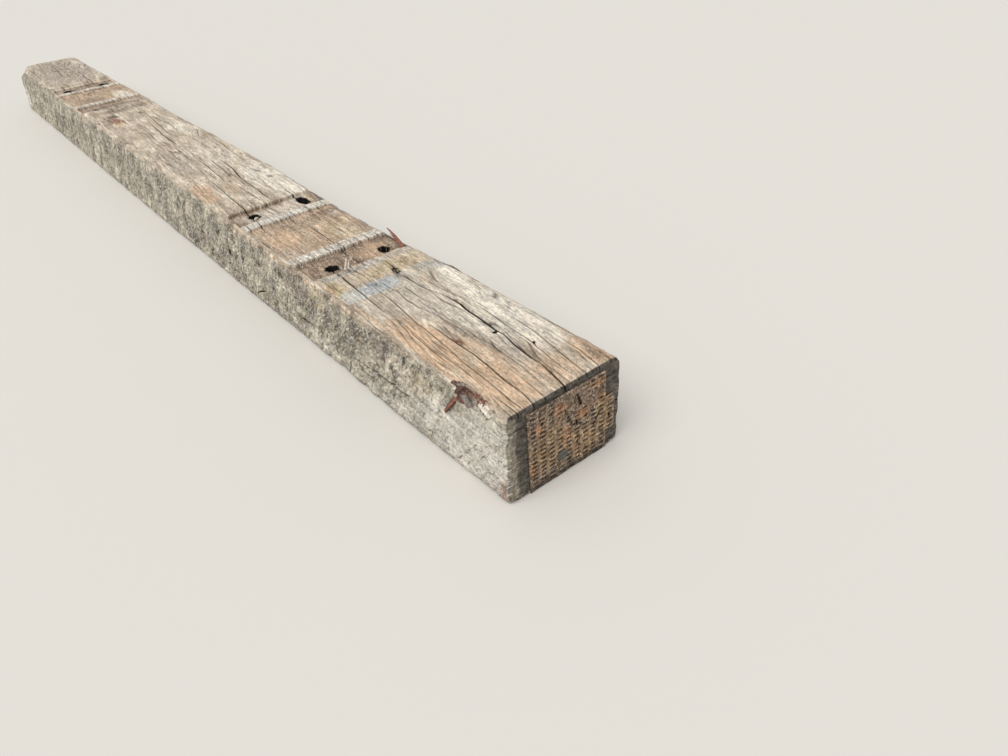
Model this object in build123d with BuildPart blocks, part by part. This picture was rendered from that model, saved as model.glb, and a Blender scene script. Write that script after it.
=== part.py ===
from build123d import *
import os

# A used oak railway sleeper lying on its underside. X runs along it, Y across it and Z up.
# The origin is in the middle of the underside. Sizes are in millimetres, turns in degrees.

# Timber, sawn from one oak baulk
timber_length = 2957.0
timber_width = 210.0
timber_height = 152.0
top_arris = 5.0
foot_arris = 2.0
end_arris = 3.0

# Rail seats, planed into the top and open at both sides
seat_spacing = 1507.0
seat_length = 184.0
seat_depth = 5.0
ridge_length = 28.0
groove_length = 76.0
groove_depth = 7.0
step_length = 22.0
step_depth = 3.0

# Bores that the rail screws were turned out of
screw_bore = 22.0
screw_spacing_along = 334.0
screw_spacing_across = 114.0

# Toothed plates pressed into the end grain to hold it against splitting, cut from one punched sheet
plate_thickness = 1.5
plate_margin = 1.2
slot_pitch_across = 16.1
slot_pitch_up = 7.65
slot_length = 10.6
slot_height = 3.0
tooth_length = 9.0
tooth_fit = 0.1

# The near plate sits off the middle and has lost slots from its last column at both corners
near_columns = 10
near_rows = 18
near_plate_across = 10.9
near_plate_drop = 5.1
low_break_rows = 4
high_break_rows = 6

# The far plate is a smaller cut
far_columns = 9
far_rows = 16

# Nail with a broad flat head, driven through a slot of the near plate
nail_head = 18.0
nail_head_thickness = 1.2
nail_shank = 2.8
nail_length = 45.0
nail_fit = 0.1
nail_column = 3
nail_row = 4
nail_shift = 2.8

# Hollows worn into the long edges: place along, side, top or bottom, length and depth
worn_hollows = [
    (1245.0, -1, 1, 430.0, 9.0),
    (1402.0, -1, 1, 58.0, 15.0),
    (-1452.0, -1, 1, 330.0, 24.0),
    (730.0, 1, 1, 820.0, 13.0),
    (-330.0, 1, 1, 640.0, 9.0),
]

groove_middle = seat_length / 2 + ridge_length + groove_length / 2
step_middle = groove_middle + groove_length / 2 + step_length / 2


def end_plane(end, across, drop):
    """Plane on the end grain, its local X across the end, its local Y up and its normal outwards."""
    return Plane(
        origin=(end * timber_length / 2, end * across, timber_height / 2 - drop),
        x_dir=(0, end, 0),
        z_dir=(end, 0, 0),
    )


def slot_across(column, columns):
    """Middle of a column of slots, across a plate of that many columns from its middle."""
    return (column - (columns - 1) / 2) * slot_pitch_across


def slot_up(row, rows):
    """Middle of a row of slots, up a plate of that many rows from its middle."""
    return (row - (rows - 1) / 2) * slot_pitch_up


def tooth_comb(face, across, rows, fit):
    """The pointed teeth of the column at that place across, joined by a strip at mid thickness.

    Each tooth is the metal of its slot, bent inwards at the slot's end.
    """
    side = Plane(
        origin=face.from_local_coords((across + slot_length / 2 - fit, 0, 0)),
        x_dir=face.y_dir,
        z_dir=face.x_dir,
    )
    half_width = slot_height / 2 + fit
    teeth = []
    for row in range(rows):
        up = slot_up(row, rows)
        teeth += [(up - half_width, 0), (up, -tooth_length - fit), (up + half_width, 0)]
    strip = plate_thickness / 2
    with BuildSketch(side) as comb:
        with BuildLine():
            Polyline((teeth[0][0], strip), *teeth, (teeth[-1][0], strip), close=True)
        make_face()
    return comb.sketch.face()


def edge_hollow(along, side, level, length, depth):
    """Radius and plane of a round bar, square to the sleeper, that takes a hollow out of an edge."""
    radius = (length ** 2 / 4 + depth ** 2) / (2 * depth)
    outwards = Vector(0, side, level).normalized()
    edge = Vector(along, side * timber_width / 2, (1 + level) * timber_height / 2)
    return radius, Plane(origin=edge + outwards * (radius - depth), z_dir=(0, -level, side))


def tooth_combs(face, columns, rows, fit):
    """One comb of teeth for each column of a plate."""
    return [tooth_comb(face, slot_across(column, columns), rows, fit) for column in range(columns)]


def pressed_plate(columns, rows):
    """A whole plate flat on the XY plane, with its slots and its teeth pointing down."""
    width = columns * slot_pitch_across + 2 * plate_margin
    height = rows * slot_pitch_up + 2 * plate_margin
    with BuildPart() as plate:
        with BuildSketch(Plane.XY) as blank:
            Rectangle(width, height)
        extrude(amount=plate_thickness)
        extrude(to_extrude=tooth_combs(Plane.XY, columns, rows, 0), amount=plate_thickness)
        with BuildSketch(Plane.XY) as slots:
            with GridLocations(slot_pitch_across, slot_pitch_up, columns, rows):
                Rectangle(slot_length, slot_height)
        extrude(amount=plate_thickness, mode=Mode.SUBTRACT)
    return plate.part


near_face = end_plane(1, near_plate_across, near_plate_drop)
far_face = end_plane(-1, 0, 0)
nail_place = (slot_across(nail_column, near_columns) + nail_shift, slot_up(nail_row, near_rows))

with BuildPart() as sleeper_timber:
    Box(timber_length, timber_width, timber_height, align=(Align.CENTER, Align.CENTER, Align.MIN))
    chamfer(sleeper_timber.faces().sort_by(Axis.Z)[-1].edges().filter_by(Axis.X), top_arris)
    chamfer(sleeper_timber.faces().sort_by(Axis.Z)[0].edges().filter_by(Axis.X), foot_arris)
    chamfer(sleeper_timber.faces().sort_by(Axis.X)[-1].edges(), end_arris)
    chamfer(sleeper_timber.faces().sort_by(Axis.X)[0].edges(), end_arris)

    # Each seat is a pad bed between two ridges, then a groove both ways and a shallow outer step
    for end in (-1, 1):
        middle = end * seat_spacing / 2
        with BuildSketch(Plane.XY.offset(timber_height)) as bed:
            with Locations((middle, 0)):
                Rectangle(seat_length, timber_width)
        extrude(amount=-seat_depth, mode=Mode.SUBTRACT)
        with BuildSketch(Plane.XY.offset(timber_height)) as grooves:
            with Locations((middle - groove_middle, 0), (middle + groove_middle, 0)):
                Rectangle(groove_length, timber_width)
        extrude(amount=-groove_depth, mode=Mode.SUBTRACT)
        with BuildSketch(Plane.XY.offset(timber_height)) as step:
            with Locations((middle + end * step_middle, 0)):
                Rectangle(step_length, timber_width)
        extrude(amount=-step_depth, mode=Mode.SUBTRACT)
        with BuildSketch(Plane.XY.offset(timber_height)) as bores:
            with Locations((middle, 0)):
                with GridLocations(screw_spacing_along, screw_spacing_across, 2, 2):
                    Circle(screw_bore / 2)
        extrude(amount=-timber_height, mode=Mode.SUBTRACT)

    for hollow in worn_hollows:
        bar_radius, bar_plane = edge_hollow(*hollow)
        with Locations(bar_plane.location):
            Cylinder(bar_radius, timber_width, mode=Mode.SUBTRACT)

    # Sockets that the teeth and the nail have cut in the end grain
    for face, columns, rows in ((near_face, near_columns, near_rows), (far_face, far_columns, far_rows)):
        extrude(
            to_extrude=tooth_combs(face, columns, rows, tooth_fit),
            amount=plate_thickness + 2 * tooth_fit, mode=Mode.SUBTRACT,
        )
    with BuildSketch(near_face) as nail_hole:
        with Locations(nail_place):
            Circle(nail_shank / 2 + nail_fit)
    extrude(amount=-nail_length - nail_fit, mode=Mode.SUBTRACT)
sleeper_timber.part.label = "sleeper_timber"

with BuildPart() as near_end_plate:
    with Locations(near_face.location):
        add(pressed_plate(near_columns, near_rows))
    break_edge = slot_across(near_columns - 1, near_columns) - (slot_pitch_across - plate_thickness) / 2
    low_break = slot_up(low_break_rows, near_rows) - slot_pitch_up / 2
    high_break = slot_up(near_rows - 1 - high_break_rows, near_rows) + slot_pitch_up / 2
    with BuildSketch(near_face.offset(plate_thickness)) as lost_corners:
        with Locations((break_edge, low_break)):
            Rectangle(timber_width, timber_height, align=(Align.MIN, Align.MAX))
        with Locations((break_edge, high_break)):
            Rectangle(timber_width, timber_height, align=(Align.MIN, Align.MIN))
    extrude(amount=-2 * plate_thickness - tooth_length, mode=Mode.SUBTRACT)
near_end_plate.part.label = "near_end_plate"

with BuildPart() as far_end_plate:
    with Locations(far_face.location):
        add(pressed_plate(far_columns, far_rows))
far_end_plate.part.label = "far_end_plate"

with BuildPart() as round_head_nail:
    with BuildSketch(near_face.offset(plate_thickness)) as head:
        with Locations(nail_place):
            Circle(nail_head / 2)
    extrude(amount=nail_head_thickness)
    with BuildSketch(near_face.offset(plate_thickness)) as shank:
        with Locations(nail_place):
            Circle(nail_shank / 2)
    extrude(amount=-nail_length - plate_thickness)
round_head_nail.part.label = "round_head_nail"

os.makedirs("parts", exist_ok=True)
export_step(sleeper_timber.part, "parts/sleeper_timber.step")
export_step(near_end_plate.part, "parts/near_end_plate.step")
export_step(far_end_plate.part, "parts/far_end_plate.step")
export_step(round_head_nail.part, "parts/round_head_nail.step")
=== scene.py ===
"""Looks of a used oak railway sleeper: sawn timber, planed rail seats, toothed end plates and a flat nail.

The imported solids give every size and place. Lengths in this script are millimetres, with X along the
sleeper, Y across it and Z up, and a mesh is turned to metres only when it is made.
"""

import logging
import math
from dataclasses import dataclass
from enum import Enum, IntEnum

import bpy
import numpy as np
from mathutils import Matrix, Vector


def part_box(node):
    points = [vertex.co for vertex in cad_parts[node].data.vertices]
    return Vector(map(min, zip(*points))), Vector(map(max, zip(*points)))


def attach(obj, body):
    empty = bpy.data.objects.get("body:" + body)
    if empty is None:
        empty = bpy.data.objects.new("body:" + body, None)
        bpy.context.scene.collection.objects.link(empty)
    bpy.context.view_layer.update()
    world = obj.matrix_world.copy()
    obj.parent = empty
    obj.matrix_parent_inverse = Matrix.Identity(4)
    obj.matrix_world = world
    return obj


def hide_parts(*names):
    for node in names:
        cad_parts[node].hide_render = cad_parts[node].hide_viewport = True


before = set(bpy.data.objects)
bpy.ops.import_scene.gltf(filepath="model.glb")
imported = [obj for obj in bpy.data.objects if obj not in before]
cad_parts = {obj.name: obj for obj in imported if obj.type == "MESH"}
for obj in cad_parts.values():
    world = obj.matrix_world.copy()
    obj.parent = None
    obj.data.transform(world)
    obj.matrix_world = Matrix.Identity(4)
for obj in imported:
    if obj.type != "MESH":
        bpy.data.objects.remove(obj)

log = logging.getLogger("sleeper")

Array = np.ndarray
Object = bpy.types.Object
Material = bpy.types.Material
Tree = bpy.types.NodeTree
Node = bpy.types.Node
Socket = bpy.types.NodeSocket
MM = 0.001
GRAIN_MAP = "grain"


class Mask(Enum):
    """Vertex attributes that tell the oak finish where a stain, a wear or a cut lies, and where shade is
    painted.
    """

    SIDE = "side"
    BED = "bed"
    GROOVE = "groove"
    RIDGE = "ridge"
    CREAM = "cream"
    ORANGE = "orange"
    OCHRE = "ochre"
    SILVER = "silver"
    BROWN = "brown"
    PAINT = "paint"
    RED = "red"
    TAR = "tar"
    MOSS = "moss"
    PALE = "pale"
    # This mask carries painted shade in checks, bores, pits and along seat walls, and the dark of knots,
    # plate tears and dirt
    CHECK = "check"


class Face(IntEnum):
    """Runs of columns round the timber's section, from the middle of the underside over the top."""

    UNDER_SEEN = 0
    SEEN = 1
    TOP = 2
    HIDDEN = 3
    UNDER_HIDDEN = 4


def linear(colour: str) -> tuple[float, float, float, float]:
    """Turns an sRGB hex colour into linear values.

    Args:
        colour: the colour as "#rrggbb".

    Returns:
        Linear red, green and blue, and an alpha of 1.
    """
    parts = [int(colour[i:i + 2], 16) / 255 for i in (1, 3, 5)]
    red, green, blue = (c / 12.92 if c <= 0.04045 else ((c + 0.055) / 1.055) ** 2.4 for c in parts)
    return red, green, blue, 1.0


def ease(share: Array) -> Array:
    """Smooth step: 3t^2 - 2t^3 of the share held between 0 and 1."""
    t = np.clip(share, 0.0, 1.0)
    return t * t * (3.0 - 2.0 * t)


def bell(away: Array) -> Array:
    """Bell: e to the power of minus the distance squared."""
    return np.exp(-away ** 2)


def lattice(column: Array, row: Array, seed: int) -> Array:
    """Random number from -1 to 1 that belongs to each lattice point, by mixing its whole numbers.

    Args:
        column: whole numbers, the points' places one way.
        row: whole numbers, the points' places the other way.
        seed: picks one lattice of many.

    Returns:
        One number for each point.
    """
    mixed = (column * 374761393 + row * 668265263 + seed * 974634777) & 0xFFFFFFFF
    mixed = ((mixed ^ (mixed >> 13)) * 1274126177) & 0xFFFFFFFF
    return ((mixed ^ (mixed >> 16)) & 0xFFFFFF) / 0x7FFFFF - 1.0


def noise(along: Array, across: Array, seed: int, octaves: int = 1) -> Array:
    """Smooth random field: lattice numbers blended by the smooth step, summed over octaves.

    Each octave has twice the detail of the last and half its height.

    Args:
        along: places one way, in lattice steps.
        across: places the other way, in lattice steps.
        seed: picks one field of many.
        octaves: how many are summed.

    Returns:
        Values from about -1 to 1.
    """
    total = np.zeros(np.broadcast(along, across).shape)
    for octave in range(octaves):
        a, b = along * 2.0 ** octave, across * 2.0 ** octave
        column, row = np.floor(a).astype(np.int64), np.floor(b).astype(np.int64)
        s, t = ease(a - column), ease(b - row)
        key = seed + 31 * octave
        low = lattice(column, row, key) * (1 - s) + lattice(column + 1, row, key) * s
        high = lattice(column, row + 1, key) * (1 - s) + lattice(column + 1, row + 1, key) * s
        total += (low * (1 - t) + high * t) * 0.5 ** octave
    return total / (2.0 - 0.5 ** (octaves - 1))


def add(tree: Tree, kind: str, inputs: dict | None = None, output: str | None = None, **settings) -> Socket:
    """Adds one shader node.

    Args:
        tree: the material's node tree.
        kind: the node's type without its ShaderNode prefix.
        inputs: for each socket's name or number, a value, an sRGB hex colour or the socket that feeds it.
        output: name of the output that is wanted, where it isn't the first one in use.
        settings: the node's own properties.

    Returns:
        The node's output.
    """
    node = tree.nodes.new("ShaderNode" + kind)
    for name, value in settings.items():
        setattr(node, name, value)
    for key, value in (inputs or {}).items():
        if isinstance(value, Socket):
            tree.links.new(value, node.inputs[key])
        else:
            node.inputs[key].default_value = linear(value) if isinstance(value, str) else value
    return node.outputs[output] if output else next(made for made in node.outputs if made.enabled)


def blank_material(name: str) -> tuple[Material, Tree, Node]:
    """A new material with its node tree and its Principled shader.

    Args:
        name: the material's name.

    Returns:
        The material, its tree and the shader node.
    """
    material = bpy.data.materials.new(name)
    material.use_nodes = True
    tree = material.node_tree
    return material, tree, tree.nodes["Principled BSDF"]


def dress(tree: Tree, shader: Node, colour: Socket, height: Socket, relief: tuple[float, float],
          plain: dict[str, float]) -> None:
    """Gives a shader its colour, its relief and the values that are the same all over.

    Args:
        tree: the material's tree.
        shader: its Principled shader.
        colour: the colour.
        height: the relief's height, from 0 to 1.
        relief: how deep the relief is, in millimetres, and how strongly it shows.
        plain: values by the name of the shader's input.
    """
    depth, strength = relief
    bump = add(tree, "Bump", {"Height": height, "Distance": depth * MM, "Strength": strength})
    tree.links.new(colour, shader.inputs["Base Color"])
    tree.links.new(bump, shader.inputs["Normal"])
    for name, value in plain.items():
        shader.inputs[name].default_value = value


def add_object(name: str, data: bpy.types.ID) -> Object:
    """Makes an object of a mesh, camera or lamp and links it to the scene.

    Args:
        name: the object's name.
        data: what it shows.

    Returns:
        The new object.
    """
    made = bpy.data.objects.new(name, data)
    bpy.context.scene.collection.objects.link(made)
    return made


@dataclass(frozen=True)
class Pattern:
    """Noise whose cell is a real size, stretched along the grain.

    Attributes:
        along: cell length along the grain, in millimetres.
        across: cell width across the grain, in millimetres.
        detail: octaves beyond the first.
        rough: how strong each finer octave is.
        turn: turn of the pattern in its plane, in degrees.
        low: noise value that gives 0.
        high: noise value that gives 1.
    """

    along: float
    across: float
    detail: float = 2.0
    rough: float = 0.5
    turn: float = 0.0
    low: float = 0.35
    high: float = 0.65

    def stretched(self, tree: Tree, source: Socket) -> Socket:
        """Coordinates turned and counted in cells.

        Args:
            tree: the node tree to add to.
            source: coordinates in metres.

        Returns:
            The coordinates' vector socket.
        """
        turned = add(tree, "VectorRotate", {"Vector": source, "Angle": math.radians(self.turn)},
                     rotation_type="Z_AXIS")
        steps = (1 / (self.along * MM), 1 / (self.across * MM), 1 / (self.across * MM))
        place = add(tree, "VectorMath", {0: turned, 1: steps}, operation="MULTIPLY")
        # Each pattern has a shift of its own, so that no two of them line up
        shift = (self.along * 0.37, self.across * 0.71, 0)
        return add(tree, "VectorMath", {0: place, 1: shift}, operation="ADD")

    def field(self, tree: Tree, source: Socket) -> Socket:
        """Raw noise on the stretched coordinates."""
        return add(tree, "TexNoise", {"Vector": self.stretched(tree, source), "Scale": 1.0,
                                      "Detail": self.detail, "Roughness": self.rough})

    def spread(self, tree: Tree, source: Socket) -> Socket:
        """The noise with its contrast drawn out from 0 to 1 between low and high."""
        return add(tree, "MapRange", {0: self.field(tree, source), 1: self.low, 2: self.high})

    def edges(self, tree: Tree, source: Socket, width: float) -> Socket:
        """Thin lines between long cells, as drying cracks run: 1 on a line, 0 from its half width on."""
        cells = add(tree, "TexVoronoi", {"Vector": self.stretched(tree, source), "Scale": 1.0},
                    feature="DISTANCE_TO_EDGE", voronoi_dimensions="2D")
        return add(tree, "MapRange", {0: cells, 2: width / self.across, 3: 1.0, 4: 0.0})


@dataclass(frozen=True)
class Coat:
    """A stain, a wear or a crust: two tones of one colour, laid where a mask is.

    Attributes:
        mask: the attribute that places it.
        light: its lighter tone.
        dark: its darker tone.
        grain: the pattern that mixes the two tones.
        share: how much it covers at most.
    """

    mask: Mask
    light: str
    dark: str
    grain: Pattern
    share: float = 1.0


@dataclass(frozen=True)
class WeatheredOak:
    """Oak, sawn rough and left outdoors for decades.

    Sun and rain leave a silver-grey skin with long dark drying checks. Under it the wood is tan to
    orange-brown where feet, rail pads and rust have worn or stained it. The skin is dull.
    """

    bare: str = "#dccbb3"
    shade: str = "#a28c76"
    pale: str = "#f1e3cd"
    crack: str = "#33281f"
    fleck: str = "#4e4034"
    # Colour of painted shade in holes and strokes on the sides
    hole: str = "#382e25"
    # Pale grit, and painted highlights on the sides
    grit_and_highlight: str = "#fbf5ea"
    # Black of the painted shade in checks, bores and knots
    painted_shade_black: str = "#120e0b"
    rough: float = 0.88
    gloss: float = 0.25

    def coats(self) -> list[Coat]:
        """The stains and crusts.

        Returns:
            The coats, from the lowest to the topmost.
        """
        long_grain = Pattern(150, 5, 4, 0.7)
        blotch = Pattern(24, 12, 5, 0.7)
        return [
            Coat(Mask.SIDE, "#dcd2bc", "#7b7261", Pattern(13, 5, 5, 0.8, turn=-68, low=0.38, high=0.66)),
            Coat(Mask.BED, "#dcc3a6", "#ad9178", Pattern(70, 12, 5, 0.7)),
            Coat(Mask.GROOVE, "#c2a990", "#7b6450", Pattern(40, 10, 5, 0.7)),
            Coat(Mask.RIDGE, "#fff6e8", "#bbae9d", Pattern(9, 5, 4, 0.7)),
            Coat(Mask.SILVER, "#e0d2c1", "#a29383", blotch, 0.85),
            Coat(Mask.ORANGE, "#f9d7b2", "#cfa682", Pattern(38, 10, 5, 0.85), 0.82),
            Coat(Mask.OCHRE, "#e6d3a6", "#b4966a", blotch, 0.8),
            Coat(Mask.CREAM, "#fff8ea", "#efdfc8", long_grain, 0.95),
            Coat(Mask.PALE, "#fffaf0", "#c6bba8", Pattern(6, 5, 5, 0.8), 0.95),
            Coat(Mask.BROWN, "#7d6754", "#41342a", blotch, 0.9),
            Coat(Mask.RED, "#b0694f", "#7a4433", blotch, 0.85),
            Coat(Mask.PAINT, "#dad9d4", "#8b9ca8", Pattern(26, 22, 5, 0.75, low=0.4, high=0.6), 0.8),
            Coat(Mask.TAR, "#7d766b", "#393631", Pattern(12, 8, 5, 0.75), 1.0),
            Coat(Mask.MOSS, "#c8beab", "#7d7666", Pattern(10, 8, 5, 0.8), 0.9),
        ]

    def tone(self, tree: Tree, grain: Socket, wavy: Socket, rough_side: Socket) -> tuple[Socket, Socket]:
        """Fibres and mottling that lighten and darken every coat.

        Args:
            tree: the material's tree.
            grain: the grain map.
            wavy: the grain map with the grain's wander.
            rough_side: 1 on the rough parts of the sides.

        Returns:
            A factor on the colour, about 1 on average, and the fibres alone for the relief.
        """
        # Fibres are about 1 mm wide and are drawn 2 mm wide, or they would not show
        fibre = Pattern(34, 2.2, 5, 0.8, low=0.34, high=0.66).spread(tree, wavy)
        total = add(tree, "MapRange", {0: fibre, 3: 1.34, 4: 0.64})
        # The rough sides also carry steep saw marks and clods, in areas as wide as a hand
        layers = [
            (Pattern(13, 7, 6, 0.85, low=0.34, high=0.66), grain, 1.36, 0.68, 1.0),
            (Pattern(70, 17, 5, 0.85, low=0.38, high=0.62), wavy, 1.28, 0.73, 1.0),
            (Pattern(80, 26, 7, 0.9, turn=-62, low=0.38, high=0.62), grain, 1.66, 0.4, rough_side),
            (Pattern(105, 42, 2, 0.5, turn=-58, low=0.4, high=0.6), grain, 1.12, 0.6, rough_side),
        ]
        for pattern, source, light, dark, where in layers:
            ranged = add(tree, "MapRange", {0: pattern.spread(tree, source), 3: light, 4: dark})
            only = add(tree, "Mix", {0: where, 2: 1.0, 3: ranged}, data_type="FLOAT")
            total = add(tree, "Math", {0: total, 1: only}, operation="MULTIPLY")
        return total, fibre

    def cracks(self, tree: Tree, wavy: Socket) -> Socket:
        """Hairline drying cracks: long ones, a finer net, and a faint hatch across the grain.

        Args:
            tree: the material's tree.
            wavy: the grain map with the grain's wander.

        Returns:
            How much of a crack lies at each point.
        """
        kinds = [
            (Pattern(280, 11), 0.55, Pattern(320, 26, 2, 0.6, low=0.45, high=0.54), 0.78),
            (Pattern(70, 5), 0.36, Pattern(110, 18, 3, 0.6, low=0.48, high=0.62), 0.42),
            (Pattern(7, 24), 1.6, Pattern(40, 22, 3, 0.6, low=0.5, high=0.64), 0.34),
        ]
        total = 0.0
        for cells, width, place, strength in kinds:
            placed = add(tree, "Math", {0: cells.edges(tree, wavy, width), 1: place.spread(tree, wavy)},
                         operation="MULTIPLY")
            weak = add(tree, "Math", {0: placed, 1: strength}, operation="MULTIPLY")
            total = add(tree, "Math", {0: weak, 1: total}, operation="MAXIMUM")
        side = add(tree, "Attribute", output="Fac", attribute_name=Mask.SIDE.value)
        off_side = add(tree, "MapRange", {0: side, 1: 0.2, 2: 0.8, 3: 1.0, 4: 0.25})
        return add(tree, "Math", {0: total, 1: off_side}, operation="MULTIPLY")

    def build(self) -> Material:
        """Makes the material: streaks, coats by mask, fibres, flecks, cracks, and painted shade in open
        checks and bores.

        Returns:
            The oak material.
        """
        material, tree, shader = blank_material("weathered_sawn_oak")
        grain = add(tree, "UVMap", uv_map=GRAIN_MAP)
        # The grain wanders a few millimetres across, so that no crack is straight
        sway = add(tree, "MapRange", {0: Pattern(110, 40, 2).field(tree, grain), 3: -9 * MM, 4: 9 * MM})
        aside = add(tree, "CombineXYZ", {1: sway})
        wavy = add(tree, "VectorMath", {0: grain, 1: aside}, operation="ADD")

        streak = Pattern(240, 6, 5, 0.65, low=0.3, high=0.7).spread(tree, wavy)
        cloud = Pattern(80, 26, 4, 0.65, low=0.42, high=0.68).spread(tree, grain)
        colour = self.bare
        for share, tone in ((streak, self.shade), (cloud, self.pale)):
            colour = add(tree, "Mix", {0: share, 6: colour, 7: tone}, data_type="RGBA")

        # A coat's edge is broken up by noise, so that no stain ends in a clean line
        ragged = Pattern(22, 6, 5, 0.75).field(tree, grain)
        bare_wood = None
        for coat in self.coats():
            mask = add(tree, "Attribute", output="Fac", attribute_name=coat.mask.value)
            tones = {0: coat.grain.spread(tree, grain), 6: coat.light, 7: coat.dark}
            tone = add(tree, "Mix", tones, data_type="RGBA")
            push = add(tree, "Math", {0: ragged, 1: 1.2, 2: mask}, operation="MULTIPLY_ADD")
            cover = add(tree, "MapRange", {0: push, 1: 0.75, 2: 1.4, 4: coat.share})
            # With no mask there is no coat, however high the noise
            held = add(tree, "Math", {0: mask, 1: 6.0}, operation="MULTIPLY", use_clamp=True)
            cover = add(tree, "Math", {0: cover, 1: held}, operation="MULTIPLY")
            colour = add(tree, "Mix", {0: cover, 6: colour, 7: tone}, data_type="RGBA")
            if coat.mask is Mask.TAR:
                bare_wood = add(tree, "MapRange", {0: cover, 3: 1.0, 4: 0.12})

        side, bleached, check = (
            add(tree, "Attribute", output="Fac", attribute_name=mask.value)
            for mask in (Mask.SIDE, Mask.PALE, Mask.CHECK))
        rough_part = add(tree, "MapRange", {0: bleached, 3: 1.0, 4: 0.3})
        rough_side = add(tree, "Math", {0: side, 1: rough_part}, operation="MULTIPLY")
        factor, fibre = self.tone(tree, grain, wavy, rough_side)
        colour = add(tree, "VectorMath", {0: colour, 3: factor}, operation="SCALE")
        # Dark flecks everywhere; on the sides, painted shade as dark holes and strokes, and painted
        # highlights as pale flakes; and pale grit
        spots = [
            (Pattern(7, 3.6, 4, 0.8, low=0.56, high=0.62), self.fleck, 0.6, 1.0),
            (Pattern(22, 8, 5, 0.85, turn=-50, low=0.56, high=0.6), self.hole, 0.8, side),
            (Pattern(46, 20, 4, 0.65, turn=-56, low=0.6, high=0.64), self.hole, 0.85, rough_side),
            (Pattern(15, 9, 3, 0.6, turn=-50, low=0.61, high=0.66), self.hole, 0.85, rough_side),
            (Pattern(18, 5.5, 5, 0.85, turn=-44, low=0.55, high=0.6), self.grit_and_highlight, 0.75, side),
            (Pattern(6, 3.6, 4, 0.75, turn=20, low=0.555, high=0.63), self.grit_and_highlight, 0.75, bare_wood),
        ]
        layers = []
        for pattern, spot, strength, where in spots:
            share = add(tree, "Math", {0: pattern.spread(tree, grain), 1: strength}, operation="MULTIPLY")
            share = add(tree, "Math", {0: share, 1: where}, operation="MULTIPLY")
            layers.append((share, spot))
        # Painted shade: the mask falls from a check's floor to its lips, and is drawn out into a crisp
        # black gap. The same black is painted in the bores, the knots and thin lines along seat walls
        painted_shade = add(tree, "MapRange", {0: check, 1: 0.14, 2: 0.34})
        cracks = self.cracks(tree, wavy)
        for share, tone in (*layers, (cracks, self.crack), (painted_shade, self.painted_shade_black)):
            colour = add(tree, "Mix", {0: share, 6: colour, 7: tone}, data_type="RGBA")

        # Relief finer than the mesh: fibres, pits and cracks, up to about 1 mm deep
        pits = Pattern(6, 3.2, 5, 0.75).field(tree, grain)
        height = add(tree, "Math", {0: fibre, 1: -0.4, 2: pits}, operation="MULTIPLY_ADD")
        height = add(tree, "Math", {0: cracks, 1: -0.8, 2: height}, operation="MULTIPLY_ADD")
        plain = {"Roughness": self.rough, "Specular IOR Level": self.gloss}
        dress(tree, shader, colour, height, (2.0, 0.9), plain)
        return material


@dataclass(frozen=True)
class RustedPlate:
    """Mild steel sheet, punched with teeth and rusted through its zinc.

    Layers of brown and orange rust, with dark scale and dirt in the hollows. The skin is dull and grainy.
    """

    brown: str = "#9d8771"
    dark: str = "#5b4a3c"
    orange: str = "#b0794f"
    ochre: str = "#b99566"
    dust: str = "#d8c8b2"
    deep: str = "#17110d"
    rough: float = 0.82

    def build(self) -> Material:
        """Makes the material: two browns, bloom by mask, dust, soot and dark tears, under clouds of crust.

        Returns:
            The steel's material.
        """
        material, tree, shader = blank_material("rusted_punched_steel")
        place = add(tree, "TexCoord", output="Object")
        layers = [(Pattern(8, 8, 5, 0.75, low=0.4, high=0.6).spread(tree, place), self.dark)]
        blotch = Pattern(6.5, 6.5, 5, 0.85).field(tree, place)
        for mask, tone, start in ((Mask.ORANGE, self.orange, 0.54), (Mask.OCHRE, self.ochre, 0.56)):
            cover = add(tree, "Attribute", output="Fac", attribute_name=mask.value)
            push = add(tree, "Math", {0: cover, 1: 0.2, 2: blotch}, operation="MULTIPLY_ADD")
            share = add(tree, "MapRange", {0: push, 1: start, 2: start + 0.2, 4: 0.85})
            layers.append((share, tone))
        # Dust and soot lie in specks of a few millimetres
        for pattern, tone, strength in (
                (Pattern(3.6, 3.6, 3, 0.7, low=0.54, high=0.64), self.dust, 0.75),
                (Pattern(4.4, 4.4, 3, 0.7, low=0.55, high=0.63), self.deep, 0.72)):
            share = add(tree, "Math", {0: pattern.spread(tree, place), 1: strength}, operation="MULTIPLY")
            layers.append((share, tone))
        worn = add(tree, "Attribute", output="Fac", attribute_name=Mask.CHECK.value)
        layers.append((add(tree, "MapRange", {0: worn, 1: 0.1, 2: 0.8}), self.deep))
        colour = self.brown
        for share, tone in layers:
            colour = add(tree, "Mix", {0: share, 6: colour, 7: tone}, data_type="RGBA")
        crust = Pattern(13, 11, 5, 0.8, low=0.42, high=0.6).spread(tree, place)
        cloud = add(tree, "MapRange", {0: crust, 3: 1.42, 4: 0.62})
        colour = add(tree, "VectorMath", {0: colour, 3: cloud}, operation="SCALE")
        grainy = Pattern(2.6, 2.6, 4, 0.75).field(tree, place)
        dress(tree, shader, colour, grainy, (1.6, 0.8), {"Roughness": self.rough})
        return material


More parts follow.
